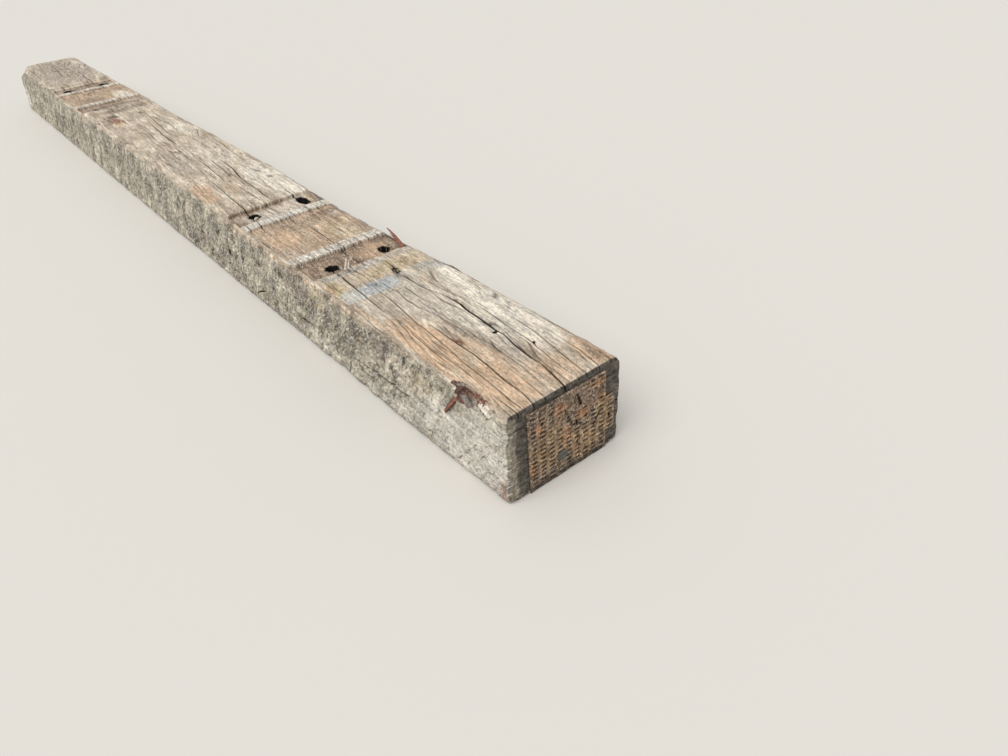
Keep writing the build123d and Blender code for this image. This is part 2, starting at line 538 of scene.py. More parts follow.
@dataclass(frozen=True)
class GalvanisedSteel:
    """Hot-dipped zinc on a nail head: gone dull grey outdoors, with a little dirt and specks of rust."""

    zinc: str = "#6f716c"
    dull: str = "#56554f"
    rust: str = "#6d4f3b"
    rough: float = 0.6
    metallic: float = 0.35

    def build(self) -> Material:
        """Makes the material: two greys and rust spots.

        Returns:
            The nail's material.
        """
        material, tree, shader = blank_material("dull_galvanised_steel")
        place = add(tree, "TexCoord", output="Object")
        cloud = Pattern(5, 5, 3, 0.6).spread(tree, place)
        spots = Pattern(3, 3, 3, 0.6, low=0.56, high=0.66).spread(tree, place)
        colour = self.zinc
        for share, tone in ((cloud, self.dull), (spots, self.rust)):
            colour = add(tree, "Mix", {0: share, 6: colour, 7: tone}, data_type="RGBA")
        plain = {"Roughness": self.rough, "Metallic": self.metallic}
        dress(tree, shader, colour, cloud, (0.4, 0.5), plain)
        return material


@dataclass(frozen=True)
class TornWood:
    """Heartwood fibres torn out of the timber: fresher, so redder or paler than the grey skin."""

    name: str
    light: str
    dark: str
    rough: float = 0.85

    def build(self) -> Material:
        """Makes the material: two tones mixed in a fine grain.

        Returns:
            The torn wood's material.
        """
        material, tree, shader = blank_material(self.name)
        place = add(tree, "TexCoord", output="Object")
        mottle = Pattern(7, 3, 4, 0.7, low=0.38, high=0.62).spread(tree, place)
        tones = {0: mottle, 6: self.light, 7: self.dark}
        colour = add(tree, "Mix", tones, data_type="RGBA")
        dress(tree, shader, colour, mottle, (0.6, 0.6), {"Roughness": self.rough})
        return material


@dataclass(frozen=True)
class StudioPaper:
    """Matt pale paper under the object, plain from edge to edge."""

    colour: str = "#dedad2"
    rough: float = 0.95
    gloss: float = 0.1

    def build(self) -> Material:
        """Makes the material: one matt colour.

        Returns:
            The paper's material.
        """
        material, _, shader = blank_material("pale_studio_paper")
        shader.inputs["Base Color"].default_value = linear(self.colour)
        shader.inputs["Roughness"].default_value = self.rough
        shader.inputs["Specular IOR Level"].default_value = self.gloss
        return material


def make_piece(name: str, points: Array, faces: Array, material: Material, sharp: float,
               node: str | None = None) -> Object:
    """Makes a mesh object in place, in metres, and lets it ride on the sleeper.

    Args:
        name: the piece's name.
        points: its vertices in millimetres, one row each.
        faces: its faces as rows of vertex numbers, where -1 ends a row that has three corners.
        material: its finish.
        sharp: the least angle of an edge that stays hard, in degrees.
        node: the CAD node that the piece stands for.

    Returns:
        The new object.
    """
    mesh = bpy.data.meshes.new(name)
    rows = [row[:3] if row[-1] < 0 else row for row in faces.tolist()]
    mesh.from_pydata((points * MM).tolist(), [], rows)
    mesh.materials.append(material)
    mesh.shade_smooth()
    mesh.set_sharp_from_angle(angle=math.radians(sharp))
    piece = add_object(name, mesh)
    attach(piece, "root")
    if node:
        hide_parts(node)
    log.info("%s: %d vertices, %d faces", name, len(mesh.vertices), len(mesh.polygons))
    return piece


def set_mask(piece: Object, mask: Mask, values: Array) -> None:
    """Stores one mask, held between 0 and 1, as a vertex attribute."""
    attribute = piece.data.attributes.new(mask.value, "FLOAT", "POINT")
    attribute.data.foreach_set("value", np.clip(values, 0, 1).astype(np.float32).ravel())


@dataclass(frozen=True)
class Check:
    """A drying check that follows the grain.

    Attributes:
        course: (along, across, width) at a few places, straight between them. It is shut where width is 0.
    """

    course: tuple[tuple[float, float, float], ...]

    def sample(self, along: Array) -> tuple[Array, Array]:
        """Middle and width of the check at each place along."""
        at, across, width = np.array(self.course).T
        return np.interp(along, at, across), np.interp(along, at, width)


@dataclass(frozen=True)
class Patch:
    """A stain on one face: an ellipse with a ragged edge.

    Attributes:
        mask: the coat that it places.
        along: its middle along the sleeper.
        across: its middle across the top, or up the side.
        half_length: half its length along the sleeper.
        half_width: half its width across or up.
        strength: how strong it is in its middle.
    """

    mask: Mask
    along: float
    across: float
    half_length: float
    half_width: float
    strength: float = 1.0

    def cover(self, along: Array, across: Array) -> Array:
        """How much the patch covers each point: it falls off smoothly with the elliptic distance.

        Args:
            along: the points' places along.
            across: the points' places across.

        Returns:
            Values from 0 to the patch's strength.
        """
        away = np.hypot((along - self.along) / self.half_length, (across - self.across) / self.half_width)
        away += 0.3 * noise(along / 34, across / 13, 71, 2)
        return self.strength * ease(1.5 - away)


def stains(table: dict[Mask, tuple]) -> tuple[Patch, ...]:
    """Makes a patch of each row of a table that is sorted by mask."""
    return tuple(Patch(mask, *row) for mask, rows in table.items() for row in rows)


def raise_mask(cover: dict[Mask, Array], mask: Mask, values: Array) -> None:
    """Raises one of the masks to the values wherever they are higher."""
    cover[mask] = np.maximum(cover[mask], values)


@dataclass(frozen=True)
class Hollow:
    """A worn hollow in a long edge: a round bar's cut, square to the sleeper and at 45 degrees to it.

    Attributes:
        along: its middle along the sleeper.
        side: -1 or 1, the side that the edge is on.
        level: 1 for the top edge, -1 for the bottom edge.
        length: its length on the edge.
        depth: its depth in the middle, square to the cut.
    """

    along: float
    side: int
    level: int
    length: float
    depth: float

    def reach(self, along: Array) -> Array:
        """Depth of the cut at each place: the bar's circle below the edge, and below 0 beyond its ends."""
        radius = (self.length ** 2 / 4 + self.depth ** 2) / (2 * self.depth)
        return np.sqrt(np.maximum(radius ** 2 - (along - self.along) ** 2, 0)) - radius + self.depth


@dataclass(frozen=True)
class ScrewHole:
    """A bore that a rail screw was turned out of, with a torn mouth.

    Attributes:
        along: the bore's middle along the sleeper.
        across: the bore's middle across it.
        mouth_along: the torn mouth's middle along the sleeper.
        mouth_across: the torn mouth's middle across it.
        mouth_length: half length of the torn mouth.
        mouth_width: half width of the torn mouth.
    """

    along: float
    across: float
    mouth_along: float
    mouth_across: float
    mouth_length: float
    mouth_width: float


@dataclass(frozen=True)
class Knot:
    """A knot or a wooden plug in the top: a dark ring, or a dark split heart where it has rotted.

    Attributes:
        along: its middle along the sleeper.
        across: its middle across it.
        radius: its radius.
        rotten: whether its heart is gone.
    """

    along: float
    across: float
    radius: float
    rotten: bool

    def dark(self, along: Array, across: Array) -> Array:
        """How deep in shade each point is: a bell round the ring, or a smooth step inside the heart.

        Args:
            along: the points' places along.
            across: the points' places across.

        Returns:
            Values from 0 to 1.
        """
        away = np.hypot((along - self.along) / 1.6, across - self.across)
        away += 1.1 * noise(along / 6, across / 4, 301, 2)
        if self.rotten:
            return ease((self.radius + 1 - away) / 2.5)
        return 0.5 * bell((away - self.radius) / 1.2)


# The drying checks by face: the top's from its -Y side on, and a side's from its foot up. A course is
# rows of place along, place across and width.
CHECKS = {face: [Check(course) for course in courses] for face, courses in {Face.TOP: (
    ((-1480, -88, 0), (-1300, -84, 1.5), (-1100, -82, 0), (700, -92, 0), (1180, -78, 0), (1225, -76, 1.2),
     (1290, -81, 1.5), (1340, -84, 0), (1425, -84, 0), (1445, -83, 1.6), (1480, -84, 1.8)),
    ((-1480, -60, 1.2), (-1380, -64, 0), (-990, -60, 0), (-960, -62, 2), (-930, -62, 0), (320, -42, 0),
     (350, -45, 1.6), (440, -51, 2), (520, -56, 2.4), (562, -58, 2.8), (640, -66, 2.2), (668, -70, 2),
     (700, -74, 0), (905, -58, 0), (935, -57, 3.2), (1000, -63, 3), (1080, -68, 2), (1130, -72, 1),
     (1160, -70, 0), (1480, -80, 0)),
    ((-1480, -40, 0), (0, -45, 0), (40, -37, 1.2), (120, -44, 1.6), (150, -45, 0), (600, -42, 0),
     (1050, -40, 0), (1075, -42, 1.5), (1110, -43, 1.8), (1150, -47, 2), (1190, -52, 2), (1260, -56, 1.8),
     (1300, -60, 1.4), (1340, -66, 1.2), (1400, -68, 1.8), (1450, -73, 1.4), (1480, -75, 0)),
    ((-1480, -24, 0), (-900, -34, 0), (-280, -24, 1), (-160, -24, 1.6), (-100, -30, 1.2), (-60, -34, 0),
     (40, -17, 1.6), (110, -22, 2.2), (150, -26, 0), (380, -34, 0), (700, -25, 0), (1100, -30, 0),
     (1200, -39, 0), (1225, -41, 1.2), (1290, -42, 2.6), (1330, -42, 2.8), (1370, -45, 2.6),
     (1410, -50, 2.8), (1445, -51, 1.6), (1480, -57, 2.2)),
    ((-1480, -4, 0), (-1330, -7, 1.8), (-1290, -9, 3), (-1200, -15, 1.4), (-1100, -20, 0), (-500, -14, 0),
     (-60, -16, 0), (0, -13, 0), (150, -9, 0), (185, -10, 1.8), (230, -11, 2.4), (290, -17, 2),
     (340, -20, 1.4), (430, -26, 0), (700, -14, 0), (1000, -20, 0), (1070, -23, 1.4), (1090, -19, 1.8),
     (1130, -25, 2), (1170, -23, 1.6), (1215, -17, 1.2), (1260, -15, 1.4), (1330, -20, 0),
     (1480, -36, 1.2)),
    ((-1480, 4, 0), (-400, -5, 0), (-130, -9, 0), (0, -10, 0), (40, 0, 0), (60, 0, 1.6), (120, -4, 1.8),
     (160, -4, 1), (200, 1, 0), (400, -10, 0), (430, -12, 1.4), (530, -12, 1.4), (700, -6, 0),
     (855, -5, 0), (880, -5, 1.8), (950, -6, 2.2), (985, -7, 1.2), (1060, -8, 0), (1150, -12, 0),
     (1165, -12, 1.4), (1235, -9, 1.6), (1270, -10, 0), (1330, -8, 1.2), (1400, -12, 1.4), (1480, -22, 0)),
    ((-1480, 14, 0), (-300, 12, 0), (-200, 5, 1.6), (-130, -1, 3), (-40, -4, 3.2), (-5, -5, 2),
     (20, 4, 0), (170, 12, 0), (200, 11, 1.6), (300, 4, 1.8), (340, 0, 1.2), (400, 2, 0), (700, 5, 0),
     (740, 4, 1), (770, 3, 2.2), (840, 1, 2.6), (875, 2, 2), (900, 3, 0), (1080, 0, 0), (1095, -3, 1.4),
     (1130, -5, 1.8), (1160, -3, 1.2), (1200, 0, 0), (1480, -10, 0)),
    ((-1480, 26, 0), (-370, 34, 0), (-350, 33, 1.4), (-250, 25, 2.4), (-190, 20, 2.2), (-140, 15, 1.4),
     (-60, 12, 0), (190, 29, 0), (215, 30, 2), (290, 26, 3), (340, 18, 3.6), (370, 13, 2.4), (440, 11, 2),
     (475, 11, 2.8), (510, 5, 1.8), (530, 4, 1.2), (600, 14, 0), (975, 24, 0), (990, 25, 2),
     (1008, 23, 2.4), (1035, 17, 2.4), (1070, 18, 3), (1125, 20, 2.8), (1160, 29, 3.6), (1200, 31, 5.6),
     (1222, 27, 4.8), (1260, 26, 5.2), (1300, 22, 5), (1320, 23, 3.6), (1350, 17, 4.4), (1395, 12, 4.2),
     (1412, 13, 3), (1440, 8, 3.8), (1480, -1, 3)),
    ((-1480, 40, 0), (-1190, 41, 0), (-1170, 40, 1.6), (-1060, 35, 2), (-980, 28, 1.4), (-900, 38, 0),
     (-100, 30, 0), (100, 38, 0), (115, 38, 1.2), (160, 35, 1.6), (200, 38, 1), (260, 40, 0),
     (700, 38, 0), (1090, 36, 0), (1110, 37, 2.2), (1170, 39, 1.8), (1205, 44, 0), (1230, 48, 1.4),
     (1300, 42, 2.2), (1340, 41, 2), (1366, 40, 3.8), (1380, 36, 1.6), (1420, 30, 1.6), (1480, 22, 0)),
    ((-1480, 60, 0), (-420, 58, 0), (-400, 57, 1), (-200, 47, 1.4), (-100, 38, 1.6), (0, 47, 1.4),
     (100, 45, 1), (140, 47, 0), (510, 53, 0), (530, 53, 2.6), (562, 52, 3.4), (640, 58, 1.4),
     (668, 59, 1.6), (700, 54, 0), (1170, 53, 0), (1190, 52, 1.4), (1243, 52, 1.4), (1256, 58, 0),
     (1270, 62, 1.2), (1340, 61, 1.6), (1380, 55, 1.8), (1420, 48, 1.8), (1480, 40, 1.6)),
    ((-1480, 78, 0), (0, 82, 0), (70, 84, 1.2), (120, 78, 1.6), (200, 73, 1.6), (260, 69, 1),
     (320, 72, 0), (700, 76, 0), (1230, 72, 0), (1245, 70, 1.2), (1280, 69, 1), (1310, 72, 0),
     (1365, 78, 1.2), (1430, 73, 1.4), (1480, 64, 1.6)),
    ((-1480, 96, 2), (-1410, 93, 2.6), (-1380, 92, 0), (0, 96, 0), (1215, 90, 0), (1230, 88, 1.2),
     (1262, 87, 1.2), (1300, 88, 0), (1480, 89, 0)),
), Face.SEEN: (
    ((-1480, 30, 0), (300, 28, 0), (645, 14, 0), (662, 18, 2), (680, 27, 3.6), (702, 35, 2.4),
     (722, 37, 0), (855, 43, 0), (865, 44, 3), (882, 46, 5), (912, 50, 3.6), (935, 50, 0), (1060, 50, 0),
     (1078, 50, 2.4), (1100, 52, 3), (1140, 54, 4.4), (1200, 58, 4.6), (1250, 61, 3), (1268, 59, 0),
     (1480, 50, 0)),
    ((-1480, 82, 0), (-900, 84, 1.8), (-600, 80, 0), (-200, 82, 1.8), (100, 78, 1.5), (200, 80, 0),
     (740, 84, 0), (760, 84, 2), (830, 81, 1.4), (900, 84, 0), (1200, 76, 0), (1230, 75, 1.6),
     (1310, 68, 1.4), (1360, 68, 0), (1480, 72, 0)),
    ((-1480, 118, 0), (540, 106, 0), (560, 108, 2), (600, 113, 0), (1040, 93, 0), (1075, 94, 2),
     (1100, 96, 3), (1130, 97, 0), (1480, 112, 0)),
), Face.HIDDEN: (
    ((-1480, 38, 2), (-1360, 46, 2.6), (-1240, 41, 0), (-1180, 54, 0), (-1100, 48, 2), (-1010, 57, 3),
     (-900, 52, 0), (-300, 34, 0), (-260, 37, 2.2), (-180, 46, 2.6), (-120, 42, 0), (100, 40, 0),
     (180, 51, 2), (300, 44, 2.6), (380, 54, 0), (640, 60, 0), (720, 52, 3.2), (860, 62, 2), (930, 56, 0),
     (1480, 44, 0)),
    ((-1480, 84, 0), (-960, 78, 0), (-900, 82, 2), (-780, 92, 2.4), (-720, 87, 0), (-600, 96, 0),
     (-520, 89, 2.4), (-400, 98, 3.2), (-300, 92, 0), (-50, 84, 0), (40, 90, 2), (120, 84, 0),
     (980, 94, 0), (1040, 86, 2.4), (1130, 95, 2), (1200, 88, 0), (1300, 82, 0), (1390, 86, 2),
     (1480, 76, 3)),
    ((-1480, 120, 0), (-1300, 118, 2), (-1000, 122, 0), (1480, 118, 0)),
)}.items()}

# Stains and worn areas: middle along and across or up, half length, half width, and strength where not 1
TOP_STAINS = stains({Mask.CREAM: (
    (1230, 76, 150, 24), (1310, 55, 90, 18, 0.7), (1120, 84, 55, 16, 0.9), (1160, 56, 70, 14, 0.6),
    (430, 62, 150, 40, 0.9), (160, 20, 150, 40, 0.35), (150, 62, 120, 20, 0.45), (-700, 62, 75, 26, 0.75),
    (-1300, 74, 90, 20, 0.6), (-150, 60, 110, 26, 0.5), (800, 45, 40, 26, 0.3), (598, -5, 36, 90, 0.5),
    (1230, 26, 120, 34, 0.6), (1130, 0, 70, 50, 0.35),
), Mask.ORANGE: (
    (1265, -72, 90, 30, 1), (1410, -58, 75, 42, 0.85), (1446, 86, 44, 22, 1.3), (400, -84, 80, 22, 0.75),
    (1340, -34, 70, 22, 0.6), (745, -62, 48, 30, 0.6), (410, -26, 40, 14, 0.45), (600, 12, 36, 24, 0.4),
    (910, 40, 36, 40, 0.5), (1400, 104, 60, 8, 0.7), (1080, -104, 140, 7, 0.8), (1330, -100, 90, 7, 0.8),
    (-368, -52, 46, 18, 0.8), (1440, 10, 40, 44, 0.6),
), Mask.OCHRE: (
    (1006, 20, 30, 66, 0.62), (1010, -90, 36, 14, 0.7), (795, 40, 50, 34, 0.5), (-700, 46, 80, 30, 0.5),
    (580, 72, 30, 14, 0.5), (1010, 75, 30, 22, 0.4),
), Mask.SILVER: (
    (1130, -8, 110, 30, 0.7), (1300, 0, 85, 20, 0.85), (165, -56, 62, 24, 1), (1140, -66, 60, 20, 0.5),
    (966, 10, 13, 110, 0.9), (60, -70, 60, 26, 0.5), (700, 78, 26, 18, 0.6), (-1250, 0, 240, 110, 0.9),
    (815, -84, 22, 12, 0.6),
), Mask.BROWN: (
    (610, 101, 70, 8), (900, 99, 60, 7, 0.9), (1085, 103, 34, 7, 0.9), (500, 108, 200, 6, 0.8),
    (-428, -48, 18, 14, 0.9), (-385, -68, 30, 5, 0.9), (-350, -40, 26, 4, 0.8), (-330, 106, 330, 8, 0.7),
    (1450, 86, 30, 12, 0.5), (684, 75, 14, 30, 0.5), (740, -100, 26, 6, 0.7), (1400, -103, 30, 6, 0.8),
    (-600, -20, 18, 70, 0.5), (-400, -60, 60, 18, 0.45), (-1250, 0, 250, 110, 0.32),
    (-930, 20, 30, 70, 0.35), (-560, -10, 30, 80, 0.4), (712, -28, 22, 10, 0.4), (706, 24, 26, 50, 0.3),
    (1300, -12, 46, 14, 0.3), (400, -84, 44, 12, 0.25), (1350, 55, 44, 12, 0.22), (-500, 10, 34, 70, 0.5),
    (-715, -36, 56, 40, 0.45), (690, 0, 12, 60, 0.34), (1005, 56, 12, 30, 0.3), (1400, 66, 34, 10, 0.28),
), Mask.RED: (
    (1152, 103, 15, 6), (-360, -58, 20, 8, 0.6), (1287, -39, 16, 5, 0.6), (610, -103, 24, 6, 0.8),
    (-380, -52, 34, 10, 0.7),
), Mask.PALE: (
    (647, 0, 15, 96, 0.5),
)})

SIDE_STAINS = stains({Mask.PALE: (
    (1395, 52, 130, 56), (1240, 26, 80, 20, 0.6), (950, 26, 80, 18, 0.45), (1130, 20, 60, 18, 0.5),
    (1440, 100, 60, 36, 0.7), (-1440, 50, 34, 34),
), Mask.BROWN: (
    (890, 98, 44, 28, 0.55), (1096, 108, 36, 20, 0.6), (1095, 42, 10, 6), (1040, 75, 9, 7),
    (700, 95, 10, 7), (805, 110, 12, 8), (760, 60, 9, 7), (620, 80, 11, 7), (555, 70, 22, 12, 0.8),
    (880, 46, 30, 8, 0.5), (1440, 4, 60, 6, 0.4), (600, 2, 800, 5, 0.5), (300, 60, 60, 30, 0.4),
    (-300, 90, 90, 24, 0.4), (120, 110, 50, 18, 0.5), (-900, 60, 120, 30, 0.4), (1000, 70, 30, 40, 0.35),
), Mask.CHECK: (
    (548, 70, 6, 7, 0.4), (700, 95, 5, 5, 0.26), (806, 110, 4, 7, 0.26), (1095, 42, 6, 4, 0.3),
    (1040, 75, 5, 4, 0.26), (836, 82, 5, 4, 0.24), (900, 76, 9, 4, 0.24), (974, 50, 5, 3, 0.28),
    (625, 81, 6, 3, 0.24), (1085, 22, 6, 5, 0.28),
), Mask.SILVER: (
    (1190, 100, 70, 30, 0.6), (860, 110, 60, 30, 0.5),
), Mask.OCHRE: (
    (955, 112, 30, 20, 0.5), (1275, 100, 34, 30, 0.45),
), Mask.ORANGE: (
    (900, 138, 500, 7, 0.45),
), Mask.RED: (
    (1470, 18, 10, 24, 0.6),
)})

# The near plate's tears, as half width and a line of places across and up, and the plates' rust bloom
NEAR_TEARS = (
    (1, ((-4, 114), (4, 94), (11, 79), (26, 74), (36, 61))), (1.4, ((63, 74), (51, 56))),
    (2.2, ((21, 126), (26, 109))), (1, ((1, 115), (16, 117), (26, 113))), (2, ((17, 84), (19, 80))),
    (2.4, ((83, 58), (83, 55))), (1.6, ((69, 117), (69, 114))), (1.4, ((63, 139), (63, 136))),
    (2, ((-45, 115), (-45, 111))), (3.2, ((84, 103), (79, 98))), (1.4, ((-62, 77), (-58, 73))),
    (0.2, ((20, 60), (19, 44), (23, 10))), (0.2, ((-13, 104), (-20, 98), (-6, 90))),
)

RUST_BLOOM = stains({Mask.ORANGE: (
    (-12, 118, 12, 10), (-2, 66, 11, 15), (46, 37, 8, 10), (68, 100, 9, 12), (-52, 104, 9, 12),
    (-48, 62, 7, 10), (-64, 38, 9, 12), (62, 128, 20, 8), (30, 92, 14, 10), (24, 26, 8, 7),
), Mask.OCHRE: (
    (-38, 66, 34, 40, 0.8), (36, 45, 50, 30, 0.8), (72, 78, 20, 34, 0.8),
)})


@dataclass
class SleeperTimber:
    """The sawn oak baulk with its seats, bores, checks and worn edges.

    Attributes:
        low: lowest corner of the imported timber.
        high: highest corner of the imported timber.
        finish: the oak material.
        seat_middle: a seat's middle from the sleeper's middle. The seats' sizes follow.
        bore_radius: radius of a screw bore. The bores' places from the seat's middle follow.
        fine_step: distance between stations in the near part. The other steps of the mesh follow.
        check_gain: factor on the width that a check's table says, to which check_least is added.
        check_slope: a check's depth for each millimetre of its width, up to check_deepest.
        hairline: widest opening of a check of the top between its stated runs.
        near_start: place along from which the stations lie closer.
        seen_out: how far the relief may stand out of the -Y side, and other_out of the other faces.
        foot_along: places along at which foot_out says how far the -Y foot stands out.
    """

    low: Array
    high: Array
    finish: Material
    seat_middle: float = 753.5
    bed_half: float = 92.0
    bed_depth: float = 5.0
    ridge_length: float = 28.0
    groove_length: float = 76.0
    groove_depth: float = 7.0
    step_length: float = 22.0
    step_depth: float = 3.0
    arris: float = 3.6
    bore_radius: float = 11.0
    bore_across: float = 57.0
    bore_half_spacing: float = 167.0
    fine_step: float = 4.8
    coarse_step: float = 11.0
    top_step: float = 2.7
    seen_step: float = 4.0
    far_step: float = 12.0
    check_gain: float = 1.15
    check_least: float = 0.4
    check_slope: float = 2.4
    check_deepest: float = 11.0
    hairline: float = 0.9
    mouth_depth: float = 14.0
    bore_depth: float = 95.0
    near_start: float = 480.0
    seen_out: float = 15.5
    other_out: float = 2.0
    knots: tuple[Knot, ...] = (
        Knot(1306, 17, 2.2, True), Knot(1367, 42, 1.6, True), Knot(1025, 20, 5.5, False))
    foot_along: tuple[float, ...] = (-1478, -850, -500, -100, 200, 640, 1000, 1200, 1300, 1478)
    foot_out: tuple[float, ...] = (15, 15, 15, 15, 14, 11, 8, 10, 8, 6)
    hollows: tuple[Hollow, ...] = (
        Hollow(1245, -1, 1, 430, 9), Hollow(1402, -1, 1, 58, 15), Hollow(-1452, -1, 1, 330, 24),
        Hollow(730, 1, 1, 820, 13), Hollow(-330, 1, 1, 640, 9))

    @property
    def half(self) -> float:
        """Half the timber's length."""
        return (self.high[0] - self.low[0]) / 2

    @property
    def width(self) -> float:
        """The timber's width."""
        return self.high[1] - self.low[1]

    @property
    def height(self) -> float:
        """The timber's height."""
        return self.high[2] - self.low[2]

    def walls(self) -> list[float]:
        """Upright walls of both seats.

        Returns:
            Their places along, of the far seat and then of the near one.
        """
        ridge_end = self.bed_half + self.ridge_length
        groove_end = ridge_end + self.groove_length
        local = [-groove_end, -ridge_end, -self.bed_half, self.bed_half, ridge_end, groove_end,
                 groove_end + self.step_length]
        return [end * (self.seat_middle + u) for end in (-1, 1) for u in local]

    def stations(self) -> Array:
        """Cross-sections of the mesh: close in the near part, in pairs at each seat wall.

        Returns:
            Their places along, in order.
        """
        end_steps = np.array([0.0, 0.7, 1.8, 3.4, 5.6, 8.4, 12.0])
        body = np.concatenate([
            np.arange(-self.half + 16, self.near_start, self.coarse_step),
            np.arange(self.near_start, self.half - 14, self.fine_step)])
        # Round the mouths of the bores and the knots the sections lie closer
        mouths = np.array([hole.mouth_along for hole in self.holes()]).reshape(-1, 2).mean(1)
        knots = np.array([knot.along for knot in self.knots])
        for middles, reach, step in ((mouths, 27, 3.0), (knots, 12, 2.4)):
            body = body[np.abs(body[:, None] - middles).min(1) > reach + 1]
            body = np.concatenate([body, (middles[:, None] + np.arange(-reach, reach + 1, step)).ravel()])
        walls = np.array(self.walls())
        spaced = body[np.abs(body[:, None] - walls).min(1) > 1.6]
        ends = -self.half + end_steps
        return np.sort(np.concatenate([spaced, walls - 0.5, walls + 0.5, ends, -ends]))

    def holes(self) -> list[ScrewHole]:
        """The eight bores, each with its torn mouth.

        Returns:
            The bores, two and two, of the near seat and then of the far one.
        """
        mouths = (
            (593, -55, 13, 11), (589, 58, 21, 10), (923, -53, 12, 11), (926, 55, 14, 10),
            (-909, -57, 23, 15), (-907, 57, 22, 15), (-573, -57, 18, 12), (-569, 57, 17, 12))
        places = [
            (seat + way * self.bore_half_spacing, side * self.bore_across)
            for seat in (self.seat_middle, -self.seat_middle) for way in (-1, 1) for side in (-1, 1)]
        return [ScrewHole(*place, *mouth) for place, mouth in zip(places, mouths)]

    def face_columns(self, along: Array, low: float, high: float, step: float, checks: list[Check],
                     hairline: float = 0.0) -> tuple[Array, Array]:
        """Columns of one face: three on each check and the rest spread evenly between.

        Args:
            along: the stations.
            low: the face's first edge.
            high: the face's last edge.
            step: wanted distance between columns.
            checks: the face's checks in order.
            hairline: widest opening of a check between its stated runs.

        Returns:
            Each column's place at each station, and the width of the check whose floor it is, or 0.
        """
        # The lips of a shut check lie a little apart, and farther in the ridges, where all checks gape
        from_seat = np.abs(np.abs(along) - self.seat_middle) - self.bed_half
        lips_apart = np.where((from_seat > 0) & (from_seat < self.ridge_length), 2.4, 0.5)
        least_between = 2.2
        middles, widths = [], []
        for k, check in enumerate(checks):
            middle, width = check.sample(along)
            hair = hairline * ease(1.8 * noise(along / 240, 5.3 * k, 42) + 0.2)
            middles.append(middle)
            widths.append(np.maximum(self.check_gain * width + self.check_least * ease(width / 0.6), hair))
        for k in range(1, len(checks)):
            clear = least_between + (widths[k] + widths[k - 1]) / 2
            middles[k] = np.maximum(middles[k], middles[k - 1] + clear)
        # A run of even columns leads up to each check's first lip, and the last one to the face's edge
        shut = np.zeros_like(along)
        columns = [(np.full_like(along, low), shut)]
        runs = []
        for middle, width in zip(middles, widths):
            half = np.maximum(width, lips_apart) / 2
            runs.append((middle - half, [(middle, width), (middle + half, shut)]))
        for first, floor_and_lip in (*runs, (np.full_like(along, high), [])):
            start = columns[-1][0]
            count = max(1, round(float(np.mean(first - start)) / step))
            columns += [(start + (first - start) * k / count, shut) for k in range(1, count)]
            columns += [(first, shut), *floor_and_lip]
        places, floors = zip(*columns)
        return np.stack(places, 1), np.stack(floors, 1)

    def grain_drift(self, along: Array) -> Array:
        """How far the grain has drifted across: the sum of its slope from the far end on.

        Args:
            along: places along the sleeper.

        Returns:
            Millimetres towards -Y.
        """
        at = np.array([-1480, -150, 0, 540, 600, 950, 1050, 1280, 1480])
        slope = np.array([0.03, 0.03, 0.08, 0.085, 0.02, 0.03, 0.055, 0.09, 0.14])
        fine = np.linspace(at[0], at[-1], 600)
        steps = np.interp(fine, at, slope)
        total = np.concatenate([[0], np.cumsum((steps[1:] + steps[:-1]) / 2 * np.diff(fine))])
        return np.interp(along, fine, total)

    def seat_carve(self, along: Array, across: Array) -> tuple[Array, dict[Mask, Array]]:
        """Depth planed off the top at the seats, and where bed, groove and ridge lie.

        The depth is a stair in the distance from the seat's middle. It fades to a thin lip at the -Y edge.

        Args:
            along: the points' places along.
            across: the points' places across.

        Returns:
            The depths, and a mask for each kind of ground.
        """
        depth = np.zeros_like(across)
        masks = {kind: np.zeros_like(across) for kind in (Mask.BED, Mask.GROOVE, Mask.RIDGE)}
        ridge_end = self.bed_half + self.ridge_length
        groove_end = ridge_end + self.groove_length
        lip = ease((across + self.width / 2 - 3.5) / 4) * ease((self.width / 2 - 6 - across) / 9)
        for end in (-1, 1):
            u = end * along - self.seat_middle
            bed = np.abs(u) < self.bed_half
            ridge = (np.abs(u) > self.bed_half) & (np.abs(u) < ridge_end)
            groove = (np.abs(u) > ridge_end) & (np.abs(u) < groove_end)
            step = (u > groove_end) & (u < groove_end + self.step_length)
            worn = 1 + 0.22 * noise(along / 40, across / 30, 5, 2)
            planed = bed * self.bed_depth * worn + groove * self.groove_depth * worn
            depth += (planed + step * self.step_depth) * (0.25 + 0.75 * lip)
            # The far seat's grounds stand out less
            strength = 1.0 if end > 0 else 0.6
            masks[Mask.BED] += bed * lip
            masks[Mask.GROOVE] += groove * lip * strength
            masks[Mask.RIDGE] += ridge * (np.abs(across) < self.width / 2 - 2) * strength
        return depth, masks

